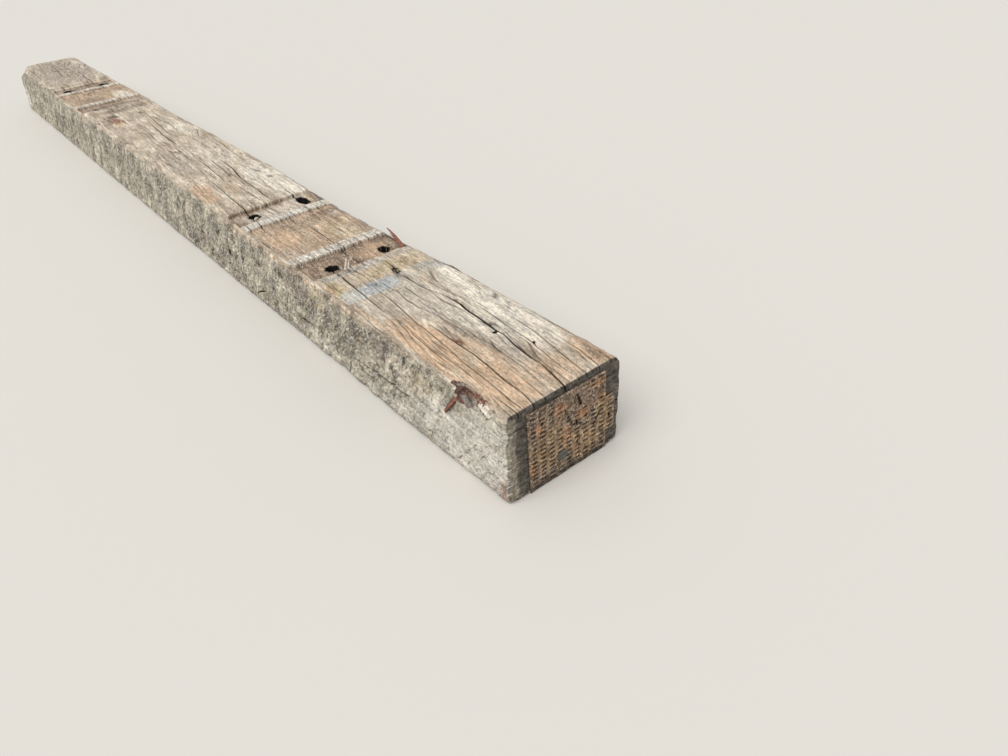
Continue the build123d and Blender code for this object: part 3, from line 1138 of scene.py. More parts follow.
    def hole_depth(self, along: Array, across: Array) -> tuple[Array, Array]:
        """Depth of the bores and of their torn mouths.

        A bore is a steep-walled round pit. Its mouth is a shallower ellipse with a ragged rim.

        Args:
            along: the points' places along.
            across: the points' places across.

        Returns:
            The depths, and how dark each point is: painted shade inside the mouth, and dirt round it.
        """
        depth, dark = np.zeros_like(across), np.zeros_like(across)
        for k, hole in enumerate(self.holes()):
            ragged = 0.3 * noise(along / 8, across / 5, 200 + k, 3)
            mouth = np.hypot((along - hole.mouth_along) / hole.mouth_length,
                             (across - hole.mouth_across) / hole.mouth_width) + ragged
            deep_along = 0.4 * hole.along + 0.6 * hole.mouth_along
            bore = np.hypot(along - deep_along, across - 0.5 * (hole.across + hole.mouth_across))
            bore = bore / self.bore_radius + 0.5 * ragged
            depth = np.maximum(depth, self.mouth_depth * ease((0.92 - mouth) / 0.3))
            depth = np.maximum(depth, self.bore_depth * ease((0.9 - bore) / 0.3) * (mouth < 0.9))
            dark = np.maximum(dark, ease((1.4 - mouth) / 0.5))
        return depth, dark

    def section(self, along: Array) -> tuple[Array, Array, Array, Array]:
        """Lays the columns from the middle of the underside up the -Y side, over the top and down again.

        Args:
            along: the stations.

        Returns:
            Each point's place across, its height and the width of the check whose floor it is, and the
            face of each column.
        """
        half_width, height = self.width / 2, self.height
        top_y, top_open = self.face_columns(
            along, -half_width, half_width, self.top_step, CHECKS[Face.TOP], self.hairline)
        seen_z, seen_open = self.face_columns(along, 0, height, self.seen_step, CHECKS[Face.SEEN])
        far_z, far_open = self.face_columns(along, 0, height, self.far_step, CHECKS[Face.HIDDEN])
        top_y, top_open = top_y[:, 1:], top_open[:, 1:]
        far_z, far_open = far_z[:, -2::-1], far_open[:, -2::-1]
        under = np.linspace(0, half_width, 8) * np.ones((len(along), 1))
        left, right = -under[:, :-1], under[:, -2:0:-1]
        runs = [
            (Face.UNDER_SEEN, left, np.zeros_like(left), np.zeros_like(left)),
            (Face.SEEN, np.full_like(seen_z, -half_width), seen_z, seen_open),
            (Face.TOP, top_y, np.full_like(top_y, height), top_open),
            (Face.HIDDEN, np.full_like(far_z, half_width), far_z, far_open),
            (Face.UNDER_HIDDEN, right, np.zeros_like(right), np.zeros_like(right)),
        ]
        y, z, open_width = (np.concatenate([run[k] for run in runs], 1) for k in (1, 2, 3))
        return y, z, open_width, np.concatenate([np.full(run[1].shape[1], run[0]) for run in runs])

    def build(self) -> Object:
        """Makes the timber: a profile round the section carried along the stations, capped at both ends.

        The section is a rectangle whose corners are cut back by the arris or by a worn hollow. Relief moves
        each point along the surface's normal, and seats, bores and checks are cut straight in.

        Returns:
            The timber's object.
        """
        along = self.stations()
        half_width, height = self.width / 2, self.height
        y, z, open_width, face = self.section(along)
        x = along[:, None] * np.ones_like(y)

        # Distance round the section from the middle of the top, signed towards +Y
        round_section = np.select(
            [face == Face.UNDER_SEEN, face == Face.SEEN, face == Face.TOP, face == Face.HIDDEN],
            [-half_width - height - half_width - y, -half_width - (height - z), y,
             half_width + (height - z)],
            half_width + height + half_width - y)
        nominal_y, nominal_z = y.copy(), z.copy()
        y, z = self.cut_corners(x, y, z)
        # The -Y foot stands out towards the far end: out by the shares of height and of width below
        share = np.select([face == Face.SEEN, face == Face.UNDER_SEEN],
                          [(1 - nominal_z / height) ** 1.1, (np.abs(nominal_y) / half_width) ** 4], 0.0)
        y = y - np.interp(x, self.foot_along, self.foot_out) * share
        points = np.stack([x, y, z], -1)
        top = np.broadcast_to(face == Face.TOP, y.shape)
        seen = np.broadcast_to(face == Face.SEEN, y.shape)
        below = np.broadcast_to((face == Face.UNDER_SEEN) | (face == Face.UNDER_HIDDEN), y.shape)
        drift = self.grain_drift(along)[:, None]
        flow = round_section + drift + 5 * noise(x / 260, round_section / 60, 3, 2)

        # Relief along the normal
        normal = self.normals(points)
        relief = 0.8 * noise(x / 170, flow / 24, 11, 2) + 0.45 * noise(x / 34, flow / 6, 12, 2)
        rough_side = 2.1 * noise(x / 26, round_section / 18, 13, 3)
        rough_side += 0.8 * noise(x / 7, round_section / 8, 14, 2)
        # Gouges on the sides: steep strokes where a noise on turned coordinates passes a level
        steep_along, steep_across = 0.47 * x + 0.88 * round_section, 0.47 * round_section - 0.88 * x
        gouge = ease((noise(steep_along / 46, steep_across / 13, 17, 3) - 0.16) / 0.3) * ~top
        relief = np.where(top, relief, relief * 0.5 + rough_side - 3.0 * gouge)
        crumble = ease((nominal_y - 86) / 18) * top
        relief -= crumble * (2.2 + 2.6 * noise(x / 26, flow / 7, 15, 3))
        arris_wear = ease((-nominal_y - 97) / 8) * top + ease((nominal_z - 140) / 12) * seen
        relief -= arris_wear * (0.9 + 1.5 * noise(x / 18, round_section / 30, 16, 3))
        # The grid's seam in the middle of the underside stays level
        relief = np.where(below, relief * ease(np.abs(nominal_y) / 30), relief)
        inset = self.end_rounding(x, face, round_section)
        points = points + normal * (relief - inset)[..., None]

        # Cuts straight in: seats, bores, checks
        carve, masks = self.seat_carve(x, nominal_y)
        near_corner = ease((half_width - 1 - np.abs(nominal_y)) / 3)
        holes, hole_shade_and_dirt = self.hole_depth(x, nominal_y)
        depth = np.where(top, carve * (0.4 + 0.6 * near_corner) + holes, 0)
        # In the ridges every check of the top gapes
        floors = (face == Face.TOP) & (open_width.max(0) > 0)
        gape = 1.8 + 1.1 * ease(1.6 * noise(x / 900, np.arange(x.shape[1]) * 7.3, 41) + 0.6)
        open_width = open_width + masks[Mask.RIDGE] * floors * gape
        check_depth = np.minimum(open_width * self.check_slope, self.check_deepest) * (open_width > 0)
        points -= normal * check_depth[..., None] * np.where(holes > 4, 0, 1)[..., None]
        points[..., 2] -= depth
        under_holes, under_bore_shade = self.under_bores(x, nominal_y)
        points[..., 2] += np.where(below, under_holes, 0)

        # Seat walls wander a little
        wander = np.zeros_like(x)
        for k, wall in enumerate(self.walls()):
            wander += bell((x - wall) / 7) * 1.6 * noise(nominal_y / 16, k * 9.1, 51, 3)
        points[..., 0] += np.where(top, wander, 0)
        points[..., 1] = np.clip(points[..., 1], self.low[1] - self.seen_out, self.high[1] + self.other_out)
        points[..., 2] = np.clip(points[..., 2], 0, height + self.other_out)

        # Painted shade inside the bores, top and bottom, and on the floors of open checks by their width
        dark = np.where(top, 0.45 * hole_shade_and_dirt, 0) + np.where(below, under_bore_shade, 0)
        dark = np.maximum(dark, ease(open_width / 1.6))
        for knot in self.knots:
            knot_dark = knot.dark(x, nominal_y) * top
            points[..., 2] -= 2.5 * knot_dark
            dark = np.maximum(dark, knot_dark)
        cover = self.face_masks(x, nominal_y, nominal_z, face, top, seen, masks)
        raise_mask(cover, Mask.CHECK, dark)
        # Painted shade in the gouges of the sides, laid as brown, and brown dirt round the bores' mouths
        raise_mask(cover, Mask.BROWN, 0.5 * gouge * (1 - 0.7 * cover[Mask.PALE]))
        raise_mask(cover, Mask.BROWN, 1.3 * hole_shade_and_dirt * top)
        return self.close_up(points, x, flow, cover)

    def cut_corners(self, x: Array, y: Array, z: Array) -> tuple[Array, Array]:
        """Cuts each corner of the section back at 45 degrees, by the arris or the deepest hollow there.

        A point beyond the cut moves square to it, with a soft bend where the cut meets the face.

        Args:
            x: the points' places along.
            y: their places across.
            z: their heights.

        Returns:
            The new places across and heights.
        """
        soft = 2.2
        along = x[:, 0]
        for side in (-1, 1):
            for level in (-1, 1):
                cut = self.arris + 0.9 * noise(along / 40, side, 61 + level, 2)
                for hollow in self.hollows:
                    if (hollow.side, hollow.level) == (side, level):
                        cut = np.maximum(cut, hollow.reach(along))
                edge_y, edge_z = side * self.width / 2, (1 + level) * self.height / 2
                out = ((y - edge_y) * side + (z - edge_z) * level) / math.sqrt(2)
                beyond = out + cut[:, None]
                push = soft * np.logaddexp(0, beyond / soft) * (beyond > -4 * soft)
                y = y - side * push / math.sqrt(2)
                z = z - level * push / math.sqrt(2)
        return y, z

    def end_rounding(self, x: Array, face: Array, round_section: Array) -> Array:
        """Rounds the edges round each end: a quarter circle of the edge's own radius.

        Args:
            x: the points' places along.
            face: each column's face.
            round_section: the points' places round the section.

        Returns:
            How far each point is drawn in.
        """
        radius = np.select([face == Face.SEEN, face == Face.TOP, face == Face.HIDDEN], [7.5, 4.0, 3.5], 4.5)
        radius = radius + 0.6 * noise(round_section / 30, 0, 81, 3)
        back = np.clip(radius - (self.half - np.abs(x)), 0, radius)
        return radius - np.sqrt(np.maximum(radius ** 2 - back ** 2, 0))

    def under_bores(self, x: Array, y: Array) -> tuple[Array, Array]:
        """The bores' lower mouths: round pits with soft rims.

        Args:
            x: the points' places along.
            y: their places across.

        Returns:
            How far each point is raised, and how dark it is painted, as painted shade in the pits.
        """
        up, dark = np.zeros_like(y), np.zeros_like(y)
        for hole in self.holes():
            away = np.hypot(x - hole.along, y - hole.across) / (self.bore_radius * 1.25)
            up = np.maximum(up, 40 * ease((1.15 - away) / 0.4))
            dark = np.maximum(dark, ease((1.3 - away) / 0.3))
        return up, dark

    def normals(self, points: Array) -> Array:
        """Unit normals of the closed grid, from its tangents along and round.

        Args:
            points: the grid, stations by columns.

        Returns:
            One outward normal for each point.
        """
        tangent_along = np.gradient(points, axis=0)
        tangent_round = np.roll(points, -1, 1) - np.roll(points, 1, 1)
        normal = np.cross(tangent_along, tangent_round)
        normal /= np.linalg.norm(normal, axis=-1, keepdims=True)
        middle = np.array([0.0, 0.0, self.height / 2])
        outward = np.sign(((points - middle)[..., 1:] * normal[..., 1:]).sum(-1).mean())
        return normal * outward

    def face_masks(self, x: Array, y: Array, z: Array, face: Array, top: Array, seen: Array,
                   masks: dict[Mask, Array]) -> dict[Mask, Array]:
        """Where each coat lies on the whole surface.

        Args:
            x: the points' places along.
            y: their places across before the corners were cut.
            z: their heights before the corners were cut.
            face: each column's face.
            top: where the top is.
            seen: where the -Y side is.
            masks: where bed, groove and ridge lie.

        Returns:
            A value from 0 to 1 for each point and mask.
        """
        cover = {mask: np.zeros_like(x) for mask in Mask}
        for mask, values in masks.items():
            cover[mask] = values * top
        # The hidden side has the seen side's stains turned end for end
        hidden = face == Face.HIDDEN
        for patches, where, along, across in (
                (TOP_STAINS, top, x, y), (SIDE_STAINS, seen, x, z), (SIDE_STAINS, hidden, -x, z)):
            for patch in patches:
                raise_mask(cover, patch.mask, patch.cover(along, across) * where)
        # A band of old paint lies across the top: white, then blue up to the middle and greenish beyond
        band = ease((x - 1030 + 3 * noise(y / 9, x / 50, 94, 2)) / 6) * ease((1075 - x) / 6) * top
        thick = np.interp(
            y, (-104, -64, -48, -6, 6, 40, 62, 98), (0.3, 0.35, 1.2, 1.2, 0.4, 0.3, 0.55, 0.6))
        cover[Mask.PAINT] = band * (thick + 0.25 * noise(x / 12, y / 12, 95, 2))
        raise_mask(cover, Mask.PALE, band * ease((-50 - y) / 12) * ease((y + 104) / 5))
        raise_mask(cover, Mask.OCHRE, 0.5 * band * ease((y - 30) / 20))
        # The shallow step is a band of grey blocks with painted shade in a thin line along the wall each
        # side, and one block is pale
        block = ease((x - 951) / 2) * ease((980 - x) / 2) * top * ease((y + 92) / 6) * ease((30 - y) / 8)
        raise_mask(cover, Mask.SILVER, 0.9 * block)
        raise_mask(cover, Mask.PAINT, 0.3 * block)
        pale_block = ease((10 - np.abs(x - 965)) / 3) * ease((8 - np.abs(y - 82)) / 3)
        raise_mask(cover, Mask.PALE, pale_block * top)
        cover[Mask.OCHRE] *= 1 - block
        # Painted shade in thin dark lines along the walls each side of the step and at the foot of the near
        # ridge's wall
        wall_shade_lines = sum(dark * bell((x - place) / half)
                     for place, half, dark in ((949, 2.2, 1.0), (844.5, 2.2, 0.8), (981, 1.6, 0.6)))
        wall_shade_lines = 0.42 * wall_shade_lines * top * ease((y + 92) / 6) * ease((40 - y) / 12)
        raise_mask(cover, Mask.CHECK, wall_shade_lines * (0.6 + 0.6 * noise(y / 9, x / 50, 96, 2)))
        # Painted shade lies in a brown band at the foot of two walls of the near seat
        dirt_and_shade = bell((x - 881) / 8) + 0.6 * bell((x - 562) / 6)
        raise_mask(cover, Mask.BROWN, 0.55 * dirt_and_shade * top * (0.8 + 0.4 * noise(y / 20, x / 20, 97)))
        wander = 3.5 * noise(x / 14, y / 40, 91, 3)
        below_edge = ease((self.height - 4 - z + wander) / 9)
        cover[Mask.SIDE] = np.where(top, ease((np.abs(y) - 103 + wander * 0.5) / 4) * 0.6, below_edge)
        from_end = self.half - np.abs(x)
        ragged = noise(y / 9, z / 9, 92, 2)
        cover[Mask.TAR] = ease((3.6 + 0.8 * ragged - from_end) / 2.0)
        cover[Mask.MOSS] = seen * ease((5 + 4 * ragged - from_end) / 7)
        return cover

    def end_masks(self, y: Array, z: Array, end: int) -> dict[Mask, Array]:
        """Where the end grain is black and where it is green-grey.

        It is black all over. The green-grey lies along the -Y arris and, on the near end, on the +Y margin.

        Args:
            y: the points' places across.
            z: their heights.
            end: 1 for the near end, -1 for the far end.

        Returns:
            A value from 0 to 1 for each point and mask.
        """
        cover = {mask: np.zeros_like(y) for mask in Mask}
        ragged = noise(y / 12, z / 15, 93, 2)
        cover[Mask.TAR] = np.ones_like(y)
        left = ease((-end * y - 88 + 4 * ragged) / 5)
        right = ease((end * y - 78 + 4 * ragged) / 5) * ease((z - 22) / 20)
        cover[Mask.MOSS] = np.maximum(left, 0.15 * right) * ease((self.height - 4 - z) / 8)
        cover[Mask.CHECK] = 0.22 * ease((18 - z) / 12) * ease((end * y + 84) / 8)
        return cover

    def close_up(self, points: Array, x: Array, flow: Array, cover: dict[Mask, Array]) -> Object:
        """Joins the grid round the section, caps both ends with rings, and writes maps and masks.

        A ring is the end outline drawn in towards its middle, and a ring's points lie back by the end
        grain's relief. A single point closes each cap.

        Args:
            points: the grid, stations by columns.
            x: each point's place along, before relief.
            flow: each point's place across the grain.
            cover: the masks.

        Returns:
            The timber's object.
        """
        rows, columns = points.shape[:2]
        index = np.arange(rows * columns).reshape(rows, columns)
        ahead = np.roll(index, -1, 1)
        quads = np.stack([index[:-1], index[1:], ahead[1:], ahead[:-1]], -1).reshape(-1, 4)
        flow_next = np.concatenate([flow[:, 1:], flow[:, -1:] + 23.0], 1)
        map_along = np.stack([x[:-1], x[1:], x[1:], x[:-1]], -1).reshape(-1, 4)
        map_across = np.stack([flow[:-1], flow[1:], flow_next[1:], flow_next[:-1]], -1).reshape(-1, 4)

        shrink = np.array([0.985, 0.96, 0.93, 0.89, 0.84, 0.78, 0.7, 0.6, 0.48, 0.34, 0.18])
        # The caps lie a little inside the end's own plane, and their middle points deeper
        cap_in, tip_in = 0.2, 1.0
        all_points, all_quads = [points.reshape(-1, 3)], [quads]
        caps: dict[Mask, list[Array]] = {mask: [values.reshape(-1)] for mask, values in cover.items()}
        total = rows * columns
        for end, row in ((-1, 0), (1, rows - 1)):
            outline = points[row]
            middle = np.array([0.0, self.height / 2])
            rings = []
            for share in shrink:
                across = middle + (outline[:, 1:] - middle) * share
                depth = 0.9 + 0.8 * noise(across[:, 0] / 9, across[:, 1] / 9, 101 + end, 3)
                depth *= ease((1 - share) / 0.05)
                rings.append(np.column_stack([end * (self.half - cap_in - np.maximum(depth, 0)), across]))
            flat_points = np.concatenate([*rings, [[end * (self.half - tip_in), *middle]]])
            ring_index = total + np.arange(len(shrink) * columns).reshape(-1, columns)
            stack = np.concatenate([index[row][None], ring_index])
            turned = np.roll(stack, -1, 1)
            order = [stack[:-1], stack[1:], turned[1:], turned[:-1]]
            cap = np.stack(order[::end], -1).reshape(-1, 4)
            pole = total + len(shrink) * columns
            last, last_next = ring_index[-1], np.roll(ring_index[-1], -1)
            first, second = (last, last_next)[::end]
            fan = np.stack([first, np.full(columns, pole), second, np.full(columns, -1)], -1)
            all_points.append(flat_points)
            all_quads += [cap, fan]
            total = pole + 1
            for mask, values in self.end_masks(flat_points[:, 1], flat_points[:, 2], end).items():
                caps[mask].append(values)
        vertices = np.concatenate(all_points)
        piece = make_piece("weathered_timber", vertices, np.concatenate(all_quads), self.finish,
                           55, "sleeper_timber")
        mesh = piece.data
        for mask in Mask:
            set_mask(piece, mask, np.concatenate(caps[mask]))

        # The grain map: along and across the grain on the long faces, flat across on the ends
        corners = np.zeros(len(mesh.loops), np.int64)
        mesh.loops.foreach_get("vertex_index", corners)
        maps = vertices[corners][:, [1, 2]] * MM
        body = len(quads) * 4
        maps[:body, 0] = map_along.reshape(-1) * MM
        maps[:body, 1] = map_across.reshape(-1) * MM
        layer = mesh.uv_layers.new(name=GRAIN_MAP)
        layer.data.foreach_set("uv", maps.astype(np.float32).ravel())
        return piece


def away_from_line(across: Array, up: Array, line: tuple[tuple[float, float], ...]) -> Array:
    """Distance of each point from a broken line: the least of its distances from the line's runs.

    Args:
        across: the points' places across.
        up: the points' heights.
        line: the line's corners.

    Returns:
        Distances in millimetres.
    """
    point = np.stack([across, up], -1)
    least = np.full(across.shape, np.inf)
    for start, stop in zip(np.array(line[:-1], float), np.array(line[1:], float)):
        run = stop - start
        share = np.clip(((point - start) @ run) / (run @ run), 0, 1)
        least = np.minimum(least, np.linalg.norm(point - start - share[..., None] * run, axis=-1))
    return least


@dataclass
class PunchedPlate:
    """Anti-split plate: steel sheet with rows of punched slots, whose metal is bent back as teeth.

    Attributes:
        name: the piece's name.
        node: the CAD node that it stands for.
        end: 1 for the near end, -1 for the far end.
        face: how far the end grain lies from the sleeper's middle.
        across: the plate's middle across the sleeper, to the right as one looks at the end.
        up: the plate's middle height.
        columns: columns of slots.
        rows: rows of slots.
        finish: the steel's material.
        lost_low: rows lost at the foot of the last column.
        lost_high: rows lost at the top of the last column.
        torn: half width and broken line of (across, height) places, for each tear.
        stains: bloom and streaks, as patches of (across, height).
        pitch_across: from one slot's middle to the next, and then the slots', sheet's and teeth's sizes.
    """

    name: str
    node: str
    end: int
    face: float
    across: float
    up: float
    columns: int
    rows: int
    finish: Material
    lost_low: int = 0
    lost_high: int = 0
    torn: tuple[tuple[float, tuple[tuple[float, float], ...]], ...] = ()
    stains: tuple[Patch, ...] = ()
    pitch_across: float = 16.1
    pitch_up: float = 7.65
    slot_length: float = 10.6
    slot_height: float = 3.0
    margin: float = 1.2
    thickness: float = 1.5
    tooth_length: float = 9.0

    def lines(self, count: int, pitch: float, stops: tuple[float, ...]) -> Array:
        """Grid lines: every cell's stops about its middle, and the sheet's edges outside them.

        Args:
            count: how many cells.
            pitch: from one cell's middle to the next.
            stops: the lines of one cell, from its low edge on.

        Returns:
            The lines' places from the plate's middle.
        """
        middles = (np.arange(count) - (count - 1) / 2) * pitch
        reach = count * pitch / 2
        inner = (middles[:, None] + np.array(stops)).ravel()
        return np.concatenate([[-reach - self.margin], inner, [reach, reach + self.margin]])

    def place(self, across: Array, up: Array, out: Array) -> Array:
        """Turns places on the plate into places in the sleeper's frame: a half turn at the far end."""
        return np.stack([self.end * (self.face + out), self.end * (self.across + across), self.up + up], -1)

    def teeth(self) -> Array:
        """One wedge at each slot's end, from the sheet's back to a point in the timber.

        Returns:
            Six corners for each tooth: four at its root and two at its point.
        """
        keep = np.ones((self.columns, self.rows), bool)
        keep[-1, :self.lost_low] = False
        keep[-1, self.rows - self.lost_high:] = False
        column, row = np.nonzero(keep)
        across = (column - (self.columns - 1) / 2) * self.pitch_across + self.slot_length / 2
        up = (row - (self.rows - 1) / 2) * self.pitch_up
        # A tooth's root lies inside the sheet and is a little narrower than its slot
        root_out, narrower = 0.4, 0.96
        half_up = self.slot_height / 2 * narrower
        side = np.array([0, self.thickness, self.thickness, 0, 0, self.thickness])
        rise = np.array([-half_up, -half_up, half_up, half_up, 0, 0])
        depth = np.array([root_out] * 4 + [-self.tooth_length] * 2)
        return self.place(across[:, None] + side, up[:, None] + rise, depth + 0 * across[:, None])

    def build(self) -> Object:
        """Makes the plate: a grid with the slots left out, a back 1.5 mm behind it, rims and teeth.

        The sheet's front is level plus two noises, sinks at each slot's lips and lifts beside a tear.

        Returns:
            The plate's object.
        """
        half_slot, half_up = self.slot_length / 2, self.slot_height / 2
        stops_across = (-self.pitch_across / 2, -half_slot, -half_slot / 2, 0, half_slot / 2, half_slot)
        stops_up = (-self.pitch_up / 2, -half_up, 0, half_up)
        line_across = self.lines(self.columns, self.pitch_across, stops_across)
        line_up = self.lines(self.rows, self.pitch_up, stops_up)
        across, up = np.meshgrid(line_across, line_up, indexing="ij")
        i, j = np.meshgrid(np.arange(len(line_across)), np.arange(len(line_up)), indexing="ij")
        # Line 0 of a cell is its edge, and the others run from one edge of its slot to the other
        (column, step_across), (row, step_up) = (
            divmod(line - 1, len(stops)) for line, stops in ((i, stops_across), (j, stops_up)))
        last_across, last_up = len(stops_across) - 1, len(stops_up) - 1

        # A slot is clogged with rust and dirt where its lattice number says so, more often higher up
        share = (self.up + up) / (2 * self.up)
        clogged = 0.5 + 0.5 * lattice(column, row, 401) < 0.2 + 0.62 * ease((share - 0.38) / 0.3)
        y, z = self.end * (self.across + across), self.up + up
        tear, lift = np.zeros_like(y), np.zeros_like(y)
        for width, line in self.torn:
            away = away_from_line(y, z, line) + 0.9 * noise(y / 4, z / 4, 402, 2)
            tear = np.maximum(tear, ease((width + 0.8 - away) / 1.6))
            lift = np.maximum(lift, ease((width + 6 - away) / 6))

        # In the sheet's own plane: rounded slot ends, and wavy cut edges
        inward = 0.8 * (step_across == 1) - 0.8 * (step_across == last_across)
        corner = np.isin(step_up, (1, last_up)) * inward
        edge_across = (i == 0) | (i == len(line_across) - 1)
        edge_up = (j == 0) | (j == len(line_up) - 1)
        bent_across = across + corner + 0.35 * noise(y / 5, z / 5, 403, 2)
        bent_across = bent_across + edge_across * noise(z / 11, y / 60, 404, 3)
        bent_up = up + 0.3 * noise(y / 5, z / 5, 405, 2) + 0.8 * noise(y / 40, z / 60, 406)
        bent_up = bent_up + edge_up * 0.9 * noise(y / 9, z / 40, 407, 3)
        lip = (step_up > 0) & (step_across > 0)
        out = self.thickness + 0.35 * noise(y / 22, z / 22, 408, 2) + 0.2 * noise(y / 4, z / 4, 409, 2)
        out = out - 0.3 * lip + 1.0 * lift * noise(y / 7, z / 7, 410, 2)
        pit = (step_up == 2) & (step_across > 1) & clogged
        out = out - 0.9 * pit

        # Faces: all but open slots, tears and lost corners
        open_slot = lip & (step_across < last_across) & (step_up < last_up) & ~clogged
        lost = (row < self.lost_low) | (row >= self.rows - self.lost_high)
        lost &= i > len(stops_across) * (self.columns - 1)
        torn_corners = tear[:-1, :-1] + tear[1:, :-1] + tear[:-1, 1:] + tear[1:, 1:]
        gone = (open_slot | lost)[:-1, :-1] | (torn_corners > 2.4)
        number = i * len(line_up) + j
        quads = np.stack([number[:-1, :-1], number[1:, :-1], number[1:, 1:], number[:-1, 1:]], -1)[~gone]
        front = self.place(bent_across, bent_up, out).reshape(-1, 3)
        back = self.place(bent_across, bent_up, np.minimum(out - 1.1, 0.1)).reshape(-1, 3)
        total = len(front)
        starts, stops = quads.ravel(), np.roll(quads, -1, 1).ravel()
        open_edge = ~np.isin(starts * total + stops, stops * total + starts)
        a, b = starts[open_edge], stops[open_edge]
        rims = np.stack([b, a, a + total, b + total], -1)

        teeth = self.teeth()
        wedge = np.array([[0, 1, 2, 3], [1, 0, 4, 5], [3, 2, 5, 4], [0, 3, 4, -1], [2, 1, 5, -1]])
        base = 2 * total + 6 * np.arange(len(teeth))
        wedges = np.where(wedge < 0, -1, wedge + base[:, None, None]).reshape(-1, 4)
        points = np.concatenate([front, back, teeth.reshape(-1, 3)])
        faces = np.concatenate([quads, quads[:, ::-1] + total, rims, wedges])
        # Points that no face uses are dropped, and the rest are numbered again
        used = np.zeros(len(points), bool)
        used[faces[faces >= 0]] = True
        faces = np.where(faces < 0, -1, (np.cumsum(used) - 1)[faces])
        piece = make_piece(self.name, points[used], faces, self.finish, 40, self.node)

        # Clogged slots are dark, but rust crust has filled most of them level high in the middle
        crust = ease((share - 0.5) / 0.16) * ease((y + 40) / 26) * ease((78 - y) / 20)
        filled = 1 - 0.7 * crust * (0.4 + 0.6 * ease(noise(y / 17, z / 13, 413, 2) + 0.6))
        dirt_and_shade = 0.5 + 0.5 * noise(y / 13, z / 13, 411, 2)
        dark = np.maximum(0.3 + 0.7 * dirt_and_shade * pit, 0.35 * lip) * (pit | (lip & (step_across > 1)))
        # Dirt has also built up on the lowest rows
        low_dirt = 0.6 * ease((18 - z) / 14) * (1 + 0.5 * noise(y / 9, z / 9, 412, 2))
        dark = np.maximum(np.maximum(tear, dark * filled), low_dirt)
        masks = {Mask.CHECK: dark, Mask.ORANGE: 0.3 * lift, Mask.OCHRE: np.zeros_like(y)}
        for stain in self.stains:
            raise_mask(masks, stain.mask, stain.cover(y, z))
        for mask, values in masks.items():
            padded = np.concatenate([values.ravel(), values.ravel(), np.zeros(teeth.size // 3)])
            set_mask(piece, mask, padded[used])
        return piece


@dataclass
class Splinters:
    """Torn fibres that stand off the timber: flat tapering blades, joined as one mesh.

    Attributes:
        name: the piece's name.
        finish: the torn wood's material.
        blades: one row for each blade: start x, y, z, stop x, y, z, width, thickness and bend.
        tip: a blade's width at its tip, as a share of its width at its root.
        facing: the way that the blades' flat sides look.
    """

    name: str
    finish: Material
    blades: Array
    tip: float = 0.25
    facing: tuple[float, float, float] = (0.0, 0.25, 0.97)

    def build(self) -> Object:
        """Makes the blades: a straight run from start to stop, bowed upwards by 4bs(1 - s) at share s.

        A blade's section is a flat rectangle that narrows to its tip.

        Returns:
            The splinters' object.
        """
        start, stop = self.blades[:, None, None, :3], self.blades[:, None, None, 3:6]
        width, thick, bend = (self.blades[:, k, None, None, None] for k in (6, 7, 8))
        rings = 6
        s = np.linspace(0, 1, rings)[None, :, None, None]
        ahead = (stop - start) / np.linalg.norm(stop - start, axis=-1, keepdims=True)
        aside = np.cross(ahead, np.array(self.facing))
        aside /= np.linalg.norm(aside, axis=-1, keepdims=True)
        above = np.cross(aside, ahead)
        ring = np.array([[1, 1], [-1, 1], [-1, -1], [1, -1]])[None, None] / 2
        taper = 1 - (1 - self.tip) * s ** 1.5
        middle = start + (stop - start) * s + above * bend * 4 * s * (1 - s)
        points = middle + aside * width * taper * ring[..., :1] + above * thick * taper * ring[..., 1:]
        number = np.arange(len(self.blades) * rings * 4).reshape(-1, rings, 4)
        turned = np.roll(number, -1, 2)
        walls = np.stack([number[:, :-1], number[:, 1:], turned[:, 1:], turned[:, :-1]], -1).reshape(-1, 4)
        faces = np.concatenate([walls, number[:, 0, :], number[:, -1, ::-1]])
        return make_piece(self.name, points.reshape(-1, 3), faces, self.finish, 30)


@dataclass(frozen=True)
class StudioCamera:
    """A camera that looks at the sleeper from the photograph's place.

    Attributes:
        focal: focal length in pixels of a picture that is picture_width wide.
        picture_width: the picture's width in pixels.
        eye: the camera's place in millimetres.
        right: the picture's right in the sleeper's frame.
        down: the picture's down.
        ahead: the way it looks.
        sensor: the sensor's width in millimetres.
        clip: nearest and farthest that it sees, in metres.
    """

    focal: float = 749.926
    picture_width: float = 1008.0
    eye: tuple[float, float, float] = (2075.7, -544.4, 755.1)
    right: tuple[float, float, float] = (0.63174, 0.7724, -0.06555)
    down: tuple[float, float, float] = (0.42118, -0.413, -0.80749)
    ahead: tuple[float, float, float] = (-0.65078, 0.48252, -0.58623)
    sensor: float = 36.0
    clip: tuple[float, float] = (0.01, 200.0)

    def build(self) -> None:
        """Makes the camera and sets it as the scene's."""
        data = bpy.data.cameras.new("studio_camera")
        data.sensor_width = self.sensor
        data.lens = self.focal / self.picture_width * self.sensor
        data.clip_start, data.clip_end = self.clip
        camera = add_object("studio_camera", data)
        turn = Matrix((self.right, [-d for d in self.down], [-a for a in self.ahead])).transposed()
        camera.matrix_world = Matrix.Translation([e * MM for e in self.eye]) @ turn.to_4x4()
        bpy.context.scene.camera = camera


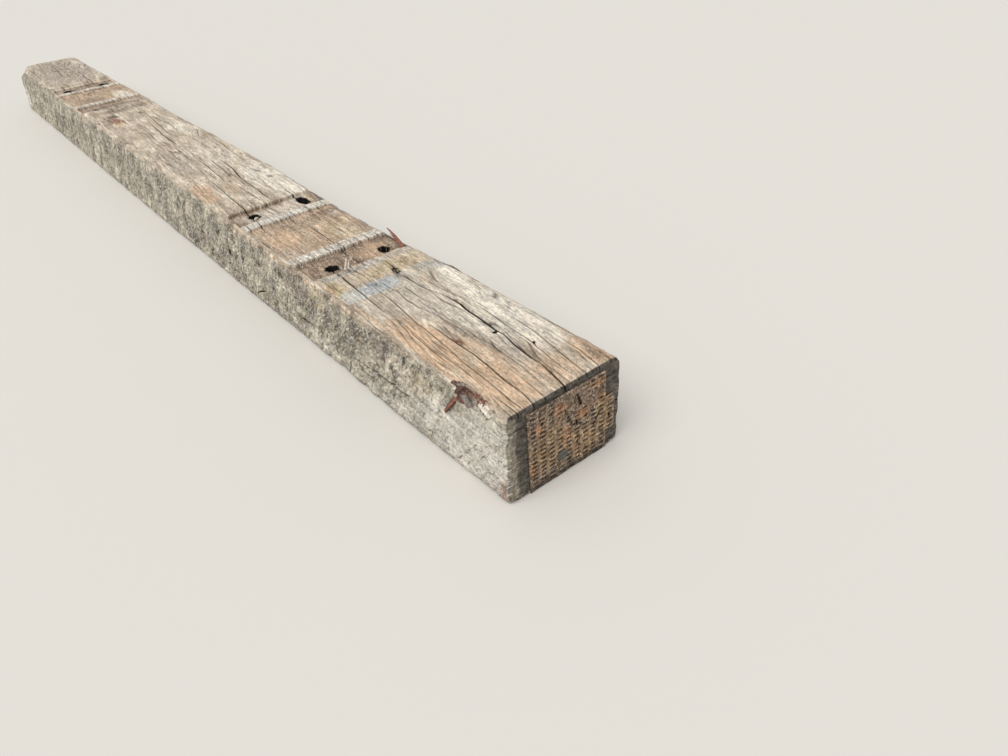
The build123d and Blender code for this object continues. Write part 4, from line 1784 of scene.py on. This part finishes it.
@dataclass(frozen=True)
class Studio:
    """A pale paper floor, an even pale sky and one broad soft lamp from above and the seen side.

    Attributes:
        floor_half: half the floor's side, in metres.
        floor_gap: how far the floor lies below the underside, so that they do not flicker into each other.
        sky: the sky's colour.
        sky_level: how strong the sky is.
        lamp_level: how strong the lamp is.
        lamp_from: the way to the lamp.
        lamp_spread: the lamp's width as seen from the sleeper, in degrees.
    """

    floor_half: float = 40.0
    floor_gap: float = 0.4
    sky: str = "#f4f5f6"
    sky_level: float = 0.66
    lamp_level: float = 1.75
    lamp_from: tuple[float, float, float] = (0.12, -0.52, 0.85)
    lamp_spread: float = 50.0

    def build(self) -> None:
        """Makes floor, sky and lamp."""
        h, low = self.floor_half, -self.floor_gap * MM
        mesh = bpy.data.meshes.new("studio_floor")
        mesh.from_pydata([(-h, -h, low), (h, -h, low), (h, h, low), (-h, h, low)], [], [(0, 1, 2, 3)])
        mesh.materials.append(StudioPaper().build())
        floor = add_object("studio_floor", mesh)
        world = bpy.data.worlds.new("studio_sky")
        bpy.context.scene.world = world
        world.use_nodes = True
        sky = world.node_tree.nodes["Background"]
        sky.inputs["Color"].default_value = linear(self.sky)
        sky.inputs["Strength"].default_value = self.sky_level
        data = bpy.data.lights.new("broad_lamp", "SUN")
        data.energy = self.lamp_level
        data.angle = math.radians(self.lamp_spread)
        lamp = add_object("broad_lamp", data)
        ahead = -np.array(self.lamp_from) / np.linalg.norm(self.lamp_from)
        side = np.cross(ahead, (1.0, 0.0, 0.0))
        side /= np.linalg.norm(side)
        lamp.matrix_world = Matrix((np.cross(side, -ahead), side, -ahead)).transposed().to_4x4()


def corners(node: str) -> tuple[Array, Array]:
    """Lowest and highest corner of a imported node, in millimetres."""
    low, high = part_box(node)
    return np.array(low) / MM, np.array(high) / MM


def spray(draw: np.random.Generator, count: int, root: tuple, spread: tuple, way: tuple, turn: tuple,
          size: tuple) -> Array:
    """Seeded blades that start about one place and run about one way.

    Args:
        draw: the random numbers.
        count: how many blades.
        root: where they start.
        spread: how far from there, each way.
        way: how they run from start to stop.
        turn: how far that varies, each way.
        size: least and greatest width.

    Returns:
        Rows of start, stop, width, thickness and bend.
    """
    start = np.array(root) + draw.uniform(-1, 1, (count, 3)) * spread
    stop = start + np.array(way) + draw.uniform(-1, 1, (count, 3)) * turn
    width = draw.uniform(size[0], size[1], (count, 1))
    thickness, bend = 0.45 * width, draw.uniform(0, 3, (count, 1))
    return np.hstack([start, stop, width, thickness, bend])


def tuft_blades() -> dict[str, Array]:
    """Blades torn up from the notch in the -Y arris near the end, by the finish that they get."""
    draw = np.random.default_rng(11)
    return {
        "dark": np.vstack([
            [[1371, -103, 130, 1343, -110, 92, 9, 4, 1], [1385, -102, 158, 1375, -106, 148, 7, 3, 1]],
            spray(draw, 9, (1392, -103, 150), (8, 2, 6), (-9, -5, -8), (5, 2, 6), (4, 7)),
            spray(draw, 6, (1382, -102, 154), (7, 2, 4), (-5, -4, 4), (5, 2, 3), (3.5, 6)),
            spray(draw, 9, (1390, -104, 138), (12, 2, 5), (-3, -3, -9), (5, 2, 4), (3, 5.5)),
            spray(draw, 8, (1424, -102, 147), (10, 2, 3), (2, -3, -6), (4, 2, 4), (1.6, 3.2)),
        ]),
        "red": np.vstack([
            [[1372, -104.5, 131, 1346, -112.5, 96, 4, 4.6, 1]],
            spray(draw, 24, (1413, -99, 150), (18, 3, 2), (4, -1.5, 0), (9, 3, 4), (1.1, 2.2)),
            spray(draw, 6, (1388, -105, 136), (12, 2, 6), (1, -2, -6), (4, 2, 4), (1.6, 3)),
        ]),
        "grey": np.array([
            [1388, -106, 147, 1409, -110, 137, 9, 3, 2], [1376, -104, 156, 1391, -103, 160, 6, 3, 2],
        ]),
        "pale": np.array([
            [1422, -103, 146, 1447, -106, 138, 7, 4, 2], [1401, -105, 134, 1409, -107, 129, 4.5, 3, 0],
            [1372, -104, 146, 1364, -108, 142, 4, 2.5, 0], [1436, -102, 150, 1443, -104, 147, 5, 3, 0],
        ]),
    }


def seat_blades() -> dict[str, Array]:
    """Splinters lifted in and beside the near seat, by the finish that they get."""
    return {
        "red": np.array([
            [946, 84, 146, 872, 97, 157, 5, 3, 2], [934, 90, 146, 866, 101, 154, 3.5, 2.4, 2],
            [950, 79, 147, 890, 92, 153, 3, 2, 2],
            [1280, -43, 151, 1300, -38, 153, 3.5, 2, 2],
        ]),
        "pale": np.array([
            [598, -51, 144, 626, -68, 153, 5.5, 3, 1], [955, 76, 148, 975, 89, 149, 7, 4, 1],
            [948, -40, 146, 918, -19, 154, 4, 2.6, 2], [950, -35, 146, 925, -18, 151, 3, 2, 2],
            [905, -6, 145, 926, -12, 148, 3, 2, 2], [638, 88, 149, 668, 84, 151.5, 6, 3, 1],
        ]),
    }


def main() -> None:
    logging.basicConfig(level=logging.INFO, format="%(name)s: %(message)s")
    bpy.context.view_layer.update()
    bpy.context.scene.view_settings.view_transform = "Standard"
    StudioCamera().build()
    Studio().build()

    oak = WeatheredOak().build()
    low, high = corners("sleeper_timber")
    SleeperTimber(low, high, oak).build()
    rust = RustedPlate().build()
    near, far = (sum(corners(node)) / 2 for node in ("near_end_plate", "far_end_plate"))
    PunchedPlate("punched_near_plate", "near_end_plate", 1, high[0], near[1], near[2], 10, 18, rust,
                 lost_low=4, lost_high=6, torn=NEAR_TEARS, stains=RUST_BLOOM).build()
    PunchedPlate("punched_far_plate", "far_end_plate", -1, -low[0], -far[1], far[2], 9, 16, rust,
                 stains=RUST_BLOOM).build()
    torn_wood = {
        "dark": TornWood("dark_torn_heartwood", "#846355", "#382720").build(),
        "red": TornWood("red_torn_heartwood", "#b07a62", "#6c3f31").build(),
        "grey": TornWood("grey_torn_fibre", "#968c81", "#615850").build(),
        "pale": TornWood("pale_torn_fibre", "#f1e8da", "#b9ab97").build(),
    }
    for tone, blades in tuft_blades().items():
        Splinters(f"{tone}_tuft", torn_wood[tone], blades, 0.6, (0.5, -0.6, 0.62)).build()
    for tone, blades in seat_blades().items():
        Splinters(f"{tone}_seat_splinters", torn_wood[tone], blades).build()
    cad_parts["round_head_nail"].data.materials[0] = GalvanisedSteel().build()


if __name__ == "__main__":
    main()
